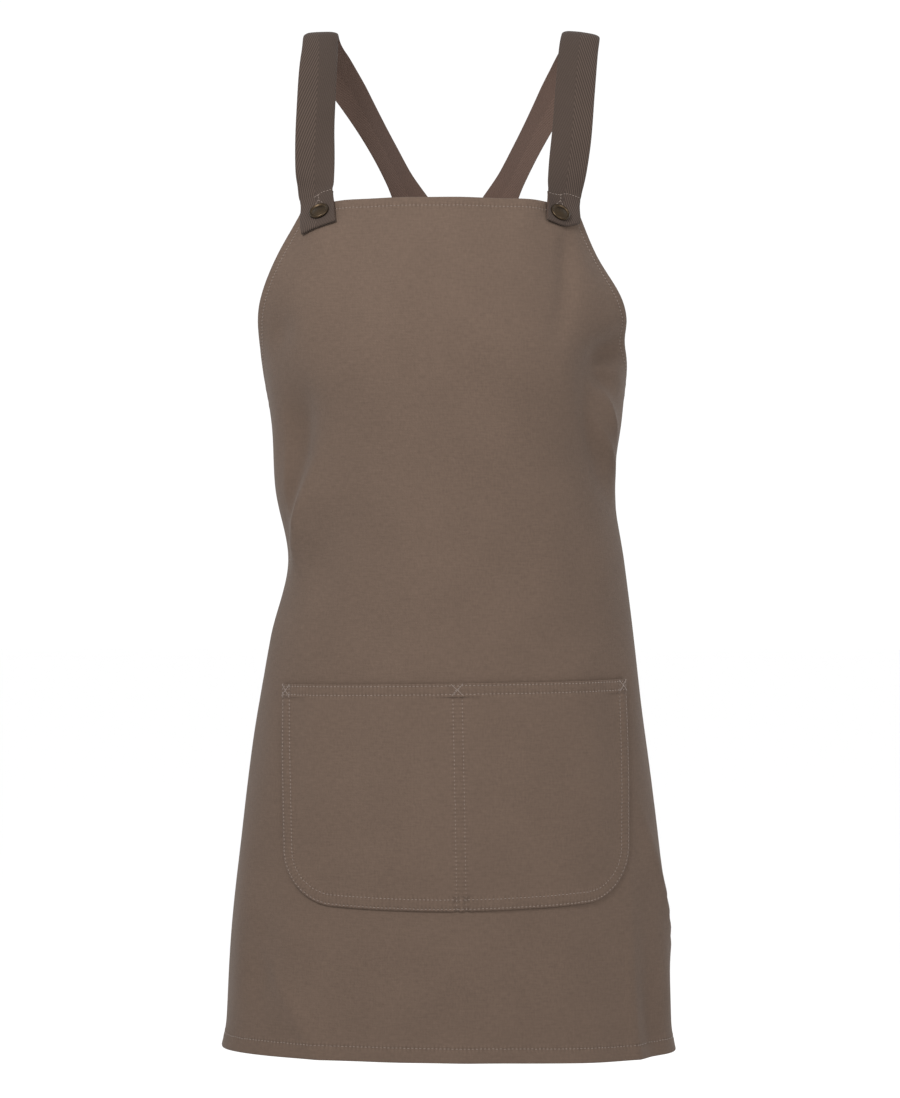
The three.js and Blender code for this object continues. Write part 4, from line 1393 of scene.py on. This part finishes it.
def ribbon_profile(length):
    """Stations of the ribbon as pairs of (along, lift), outer face first."""
    middle, slit = -0.5 * WEBBING, FOLD_SLIT * WEBBING
    start = []
    for along in np.arange(STRAP_TURN, WEBBING, -RIBBON_STEP):
        start.append((along, middle - WEBBING, along, middle - slit))
    for angle in np.linspace(0.0, math.pi, FOLD_STEPS):
        reach, rise = math.sin(angle), math.cos(angle)
        outer = (WEBBING - WEBBING * reach, middle - WEBBING * rise)
        start.append((*outer, WEBBING - slit * reach, middle - slit * rise))
    free = np.arange(WEBBING + RIBBON_STEP, length - WEBBING - RIBBON_STEP / 2, RIBBON_STEP)
    run = [(along, middle + WEBBING, along, middle + slit) for along in free]
    end = [(length - a, b, length - c, d) for a, b, c, d in reversed(start)]
    return np.array(start + run + end)


# %% The small pulls in a strap's ends
END_REACH = 0.02
END_FLAT = 0.003
END_TRIM = {"left": 0.0012, "right": 0.0046}
END_SLANT = {"left": 0.13, "right": 0.05}
END_POINT = {"left": 0.05, "right": 0.30}
REAR_POINT = 0.06
STITCH_ABOVE = 0.0345
PULL_DEPTH = 0.00045
PULL_BREADTH = 0.0016
DIMPLE_DEPTH = 0.0005
DIMPLE_REACH = 0.009
CORNER_LIFT = 0.0012
CORNER_ABOVE = 0.012
CORNER_REACH = 0.012
PLEAT_HEIGHT = 0.0007
PLEAT_ABOVE = 0.028
PLEAT_REACH = 0.005
PLEAT_BREADTH = 0.0024


def end_shape(along, aside, length, name):
    """Moves the very end of the strap a little, because it is never folded quite square."""
    corner = np.maximum(np.abs(aside) - END_FLAT, 0)
    drawn = END_TRIM[name] + END_SLANT[name] * aside + END_POINT[name] * corner
    from_front = within(along, 0.0, END_REACH)
    from_rear = within(length - along, 0.0, END_REACH)
    return drawn * from_front - REAR_POINT * np.abs(aside) * from_rear


def strap_relief(along, aside, length, shift):
    """The pull of the stitches, the dimple under the stud, lifted corners and a small pleat."""
    from_end = np.minimum(along, length - along)
    off_stud = aside + shift * (along < length / 2)
    pull = -PULL_DEPTH * bell(from_end - STITCH_ABOVE, PULL_BREADTH)
    dimple = -DIMPLE_DEPTH * bell(np.hypot(from_end - STRAP_BELOW_STUD, off_stud), DIMPLE_REACH)
    corners = (aside / (STRAP_WIDTH / 2)) ** 2 * bell(from_end - CORNER_ABOVE, CORNER_REACH)
    pleat = bell(from_end - PLEAT_ABOVE, PLEAT_REACH) * bell(off_stud, PLEAT_BREADTH)
    return pull + dimple + CORNER_LIFT * corners + PLEAT_HEIGHT * pleat


# %% Build the straps
EDGE_THIN = 0.75
THIN_FROM = 0.95


def build_strap(side, layer):
    """The strap, with the function that places things on it and its length."""
    name = side_name(side)
    place, length = strap_form(side, layer)
    profile = ribbon_profile(length)
    asides = (SECTION_POINTS * STRAP_WIDTH / 2)[::-1][None, :]
    near_edge = (np.abs(asides) / (STRAP_WIDTH / 2) - THIN_FROM) / (1 - THIN_FROM)
    thin = 1 - EDGE_THIN * np.clip(near_edge, 0, 1) ** 2
    middle = (profile[:, 1:2] + profile[:, 3:4]) / 2
    faces = []
    for along_column, lift_column in ((0, 1), (2, 3)):
        along, aside = np.broadcast_arrays(profile[:, along_column][:, None], asides)
        lift = middle + (profile[:, lift_column][:, None] - middle) * thin
        lift = lift + strap_relief(along, aside, length, side * FRONT_SHIFT[name])
        faces.append(place(along + end_shape(along, aside, length, name), aside, lift))
    steps = np.linalg.norm(np.diff(profile[:, :2], axis=0), axis=1)
    way = np.concatenate([[0.0], np.cumsum(steps)])
    flat = np.stack(np.broadcast_arrays(-side * asides, way[:, None]), axis=-1)
    strap = wall_mesh(f"strap_{name}_webbing", faces[0], faces[1], pattern=flat)
    print(strap.name, "length, mm", round(1000 * length), "quads", len(strap.data.polygons))
    return strap, place, length


left_strap, left_place, left_length = build_strap(-1, 1)
right_strap, right_place, right_length = build_strap(1, -1)

# %% [markdown]
# ## Herringbone
# The webbing is woven as a twill whose diagonal turns back once at the middle, so its fine ridges meet
# in a row of chevrons. The ridges are a sine wave along the strap whose phase slides with the distance
# from the middle line. They show as real relief in the light and as a change of shade. On the inner half
# the lines are nearly plain, and that half is painted darker as the shade of the strap's crease. The
# strap's inner face, which shows behind the shoulders, has the weaker lines of the weave's other side.
# It takes a second material, painted lighter to stand in for the light that falls on it there.

# %% Herringbone webbing
WEBBING_COLOUR = (0.0375, 0.0264, 0.0210)
# The inner face's colour, painted lighter than the outer one to stand in for the light behind the
# shoulders.
WEBBING_INSIDE_PAINTED_LIGHT = (0.0680, 0.0430, 0.0335)
TWILL_PITCH = 0.0021
TWILL_SLOPE = 0.36
PLAIN_HALF = 0.75
TWILL_OUTSIDE = 0.42
TWILL_INSIDE = 0.12
WEBBING_TONE = 0.93
# inner paints the inner half darker, as the shade of the strap's crease
WEBBING_TONES_AND_CREASE_SHADE = {"inner": -0.09, "fuzz": 0.14, "cloud": 0.10}
WEBBING_RELIEF = {"fuzz": 0.5}
WEBBING_BUMP = (0.00016, 0.5)
WEBBING_ROUGHNESS = 0.9
FUZZ_SIZE = 0.0013
WEBBING_CLOUD = 0.02


def webbing_material(name, colour, twill):
    material, nodes, links = new_material(name)
    shader = nodes["Principled BSDF"]
    place, across_axis, along_axis = chart_axes(nodes, links, PATTERN_CHART)
    aside_axis = math_node(nodes, links, "ABSOLUTE", across_axis)
    slide = math_node(nodes, links, "MULTIPLY", along_axis, TWILL_SLOPE)
    diagonal = ripple(nodes, links, math_node(nodes, links, "ADD", aside_axis, slide), TWILL_PITCH)
    parts = {
        # 1 on the inner half: its lines are nearly plain, and it is painted darker as crease shade
        "inner": math_node(nodes, links, "GREATER_THAN", across_axis),
        "fuzz": noise(nodes, links, place, FUZZ_SIZE),
        "cloud": noise(nodes, links, place, WEBBING_CLOUD),
    }
    plain = weighted_sum(nodes, links, 1.0, parts, {"inner": -PLAIN_HALF})
    parts["lines"] = math_node(nodes, links, "MULTIPLY", diagonal, plain)
    tone = weighted_sum(nodes, links, WEBBING_TONE, parts, {"lines": twill, **WEBBING_TONES_AND_CREASE_SHADE})
    links.new(shade(nodes, links, colour, tone), shader.inputs["Base Color"])
    height = weighted_sum(nodes, links, diagonal, parts, WEBBING_RELIEF)
    add_bump(nodes, links, shader, height, *WEBBING_BUMP)
    cloth_surface(shader, WEBBING_ROUGHNESS)
    return material


webbing = webbing_material("webbing", WEBBING_COLOUR, TWILL_OUTSIDE)
# A copy of the webbing painted lighter, for the inner faces that show behind the shoulders.
webbing_inside_painted_light = webbing_material("webbing_inside_painted_light", WEBBING_INSIDE_PAINTED_LIGHT, TWILL_INSIDE)
for strap in (left_strap, right_strap):
    strap.data.materials.append(webbing)
    strap.data.materials.append(webbing_inside_painted_light)
    stations = len(strap.data.vertices) // 2 // len(SECTION_POINTS)
    face_count = (stations - 1) * (len(SECTION_POINTS) - 1)
    faces = np.zeros(len(strap.data.polygons), int)
    faces[face_count : 2 * face_count] = 1
    strap.data.polygons.foreach_set("material_index", faces)
print("webbing nodes", len(webbing.node_tree.nodes))

# %% Stitch the strap ends
FORK_DROP = 0.006
FORK_SPREAD = 0.003
STEM_LEAN = 0.0006
ROW_SHORT = 0.0012
ROW_STOP = 0.004
ROW_BENDS = (-0.002, 0.0, 0.005)
ROW_WANDER = np.array([-0.0016, -0.0010, -0.0002, 0.0018, 0.0012])
STRAP_STITCH_PITCH = 0.0029


def strap_surface(place, length, shift):
    def surface(aside, along):
        lift = 0.5 * WEBBING + strap_relief(along, aside, length, shift)
        return place(along, aside, lift)

    return surface


def strap_strands(place, length, shift):
    """A crooked row across each folded end, with a fork of thread that runs down to the stud."""
    surface = strap_surface(place, length, shift)
    half = STRAP_WIDTH / 2 - ROW_SHORT
    groups = []
    for base, way in ((0.0, 1.0), (length, -1.0)):
        row = base + way * STITCH_ABOVE
        fork = row - way * FORK_DROP
        foot = fork - way * FORK_DROP / 2
        middle = -shift if way > 0 else 0.0
        reach = ROW_STOP - middle if shift < 0 and way > 0 else half
        places = [-reach, *(middle + bend for bend in ROW_BENDS), half]
        crooked = np.stack([places, row + way * ROW_WANDER], axis=1)
        paths = [crooked[:3], crooked[2:]]
        paths.append(np.array([[middle, row], [middle + STEM_LEAN, fork]]))
        for spread in (-FORK_SPREAD, FORK_SPREAD):
            paths.append(np.array([[middle, fork], [middle + spread, foot]]))
        groups += [strands(surface, path, STRAP_STITCH_PITCH, side=-1.0) for path in paths]
    return groups


strap_threads = []
for side, place, length in ((-1, left_place, left_length), (1, right_place, right_length)):
    name = side_name(side)
    rows = strap_strands(place, length, side * FRONT_SHIFT[name])
    threads = thread_mesh(f"strap_stitches_{name}", rows)
    threads.data.materials.append(thread)
    strap_threads.append(threads)

# %% [markdown]
# ## Brass studs
# Each strap end is held by a stud: a turned cap with a raised rim round a low dome, on a post that goes
# through the webbing and the cloth to a ring behind. Turned parts are made by spinning an outline, so
# the profile below is the whole shape. Antique brass is dark in its hollows and bright where it rubs.

# %% Build the studs
CAP_RADIUS = 0.0085
POST_RADIUS = 0.0018
RING_RADIUS = 0.0060
RING_HEIGHT = 0.0015
RING_BORE = 0.0021
CAP_GAP = 0.0005
RING_GAP = 0.0006
SOLID_CLOTH = 0.0012
TURN_SIDES = 56
CAP_UNDER = -0.0006
RING_BEVEL = (0.0005, 0.0004)
RING_SINK = (0.0008, 0.0006)
STUD_LIFT = LAY_GAP + 2 * WEBBING + CAP_GAP
POST_REACH = STUD_LIFT + SOLID_CLOTH + RING_GAP + RING_HEIGHT

CAP_PROFILE = [
    (0.93, CAP_UNDER), (0.985, -0.0002), (1.00, 0.0005), (0.985, 0.0011), (0.95, 0.00150),
    (0.90, 0.00172), (0.85, 0.00168), (0.80, 0.00138), (0.765, 0.00102), (0.73, 0.00088),
    (0.68, 0.00092), (0.60, 0.00116), (0.48, 0.00148), (0.34, 0.00174), (0.18, 0.00190),
    (0.00, 0.00196),
]


def turned(name, profile, seat, lift):
    """Spins an outline of (radius, height) about the stud's own axis, at its place on the cloth."""
    axis = cloth_facing(seat["across"], seat["down"])
    side = unit(np.cross(axis, np.array([0.0, 0.0, 1.0])))
    upward = np.cross(side, axis)
    here = cloth_point(np.array(seat["across"]), np.array(seat["down"]), np.array(0.0))
    centre = here + axis * lift
    angles = np.linspace(0.0, 2 * math.pi, TURN_SIDES, endpoint=False)
    ring = side[None] * np.cos(angles)[:, None] + upward[None] * np.sin(angles)[:, None]
    closed = profile[0][0] == 0.0
    rings = [(radius, height) for radius, height in profile if radius > 0.0]
    points = np.concatenate([centre + ring * radius + axis * height for radius, height in rings])
    index = np.arange(len(points)).reshape(len(rings), TURN_SIDES)
    following = index[1:] if closed else np.roll(index, -1, axis=0)
    start = index[:-1] if closed else index
    quads = np.stack([start, np.roll(start, -1, 1), np.roll(following, -1, 1), following], -1)
    faces = [quads.reshape(-1, 4)]
    if closed:
        tips = np.array([centre + axis * profile[0][1], centre + axis * profile[-1][1]])
        points = np.concatenate([points, tips])
        low, high = len(points) - 2, len(points) - 1
        first, last = index[0], index[-1]
        faces.append(np.stack([np.full(TURN_SIDES, low), np.roll(first, -1), first], 1))
        faces.append(np.stack([np.full(TURN_SIDES, high), last, np.roll(last, -1)], 1))
    return make_mesh(name, points, faces)


cap_profile = [(0.0, -POST_REACH), (POST_RADIUS, -POST_REACH), (POST_RADIUS, CAP_UNDER)]
cap_profile += [(share * CAP_RADIUS, height) for share, height in CAP_PROFILE]
bevel_in, bevel_up = RING_BEVEL
sink_out, sink_down = RING_SINK
ring_profile = [
    (RING_BORE, 0.0),
    (RING_RADIUS - bevel_in, 0.0),
    (RING_RADIUS, bevel_up),
    (RING_RADIUS, RING_HEIGHT - bevel_up),
    (RING_RADIUS - bevel_in, RING_HEIGHT),
    (RING_BORE + sink_out, RING_HEIGHT),
    (RING_BORE, RING_HEIGHT - sink_down),
]
studs = {}
for name, seat in SEATS.items():
    studs[f"stud_cap_{name}"] = turned(f"brass_cap_{name}", cap_profile, seat, STUD_LIFT)
    ring_lift = -SOLID_CLOTH - RING_GAP - RING_HEIGHT
    studs[f"stud_back_{name}"] = turned(f"brass_ring_{name}", ring_profile, seat, ring_lift)
print("studs", len(studs))

# %% Antique brass
BRASS_DARK = (0.026, 0.018, 0.011)
BRASS_BRIGHT = (0.17, 0.110, 0.056)
BRASS_METALLIC = 0.9
BRASS_ROUGHNESS = 0.38
BRASS_BUMP = (0.0001, 0.4)
BLOTCH_SIZE = 0.0022
BLOTCH_DETAIL = 4.0
BLOTCH_SHARE = {"blotch": 0.18}
RUBBED_FROM = 0.52
RUBBED_TO = 0.64


def brass_material(name):
    material, nodes, links = new_material(name)
    shader = nodes["Principled BSDF"]
    place = nodes.new("ShaderNodeTexCoord").outputs["Object"]
    blotch = noise(nodes, links, place, BLOTCH_SIZE, BLOTCH_DETAIL)
    geometry = nodes.new("ShaderNodeNewGeometry")
    rubbed = nodes.new("ShaderNodeMapRange")
    rubbed.inputs["From Min"].default_value = RUBBED_FROM
    rubbed.inputs["From Max"].default_value = RUBBED_TO
    links.new(geometry.outputs["Pointiness"], rubbed.inputs["Value"])
    bright = weighted_sum(nodes, links, rubbed.outputs["Result"], {"blotch": blotch}, BLOTCH_SHARE)
    amount = nodes.new("ShaderNodeClamp")
    links.new(bright, amount.inputs["Value"])
    mix = nodes.new("ShaderNodeMix")
    mix.data_type = "RGBA"
    mix.inputs["A"].default_value = (*BRASS_DARK, 1.0)
    mix.inputs["B"].default_value = (*BRASS_BRIGHT, 1.0)
    links.new(amount.outputs["Result"], mix.inputs["Factor"])
    links.new(mix.outputs["Result"], shader.inputs["Base Color"])
    add_bump(nodes, links, shader, blotch, *BRASS_BUMP)
    shader.inputs["Metallic"].default_value = BRASS_METALLIC
    shader.inputs["Roughness"].default_value = BRASS_ROUGHNESS
    return material


brass = brass_material("antique_brass")
for stud in studs.values():
    stud.data.materials.append(brass)
print("brass nodes", len(brass.node_tree.nodes))

# %% [markdown]
# ## Hand each piece over
# Each piece now rides on the body, and the solid that it stands for is hidden. The flat area that the
# cloth was cut to is worked out as well.

# %% Attach each piece and hide its solid
def hand_over(piece, finish, *solids):
    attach(piece, BODY)
    if solids:
        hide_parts(*solids)


hand_over(panel, "canvas", "apron_panel")
hand_over(pocket, "canvas", "pocket")
hand_over(left_strap, "webbing", "strap_left")
hand_over(right_strap, "webbing", "strap_right")
for node, stud in studs.items():
    hand_over(stud, "stud_brass", node)
for threads in (panel_thread, pocket_thread, *strap_threads):
    hand_over(threads, "thread")

AREA_POINTS = 400
cut_downs = np.linspace(0.0, APRON_LENGTH, AREA_POINTS)
cut_area = 2 * APRON_LENGTH * float(np.mean(half_width((cut_downs[1:] + cut_downs[:-1]) / 2)))
print("cut area, square metres", round(cut_area, 3))
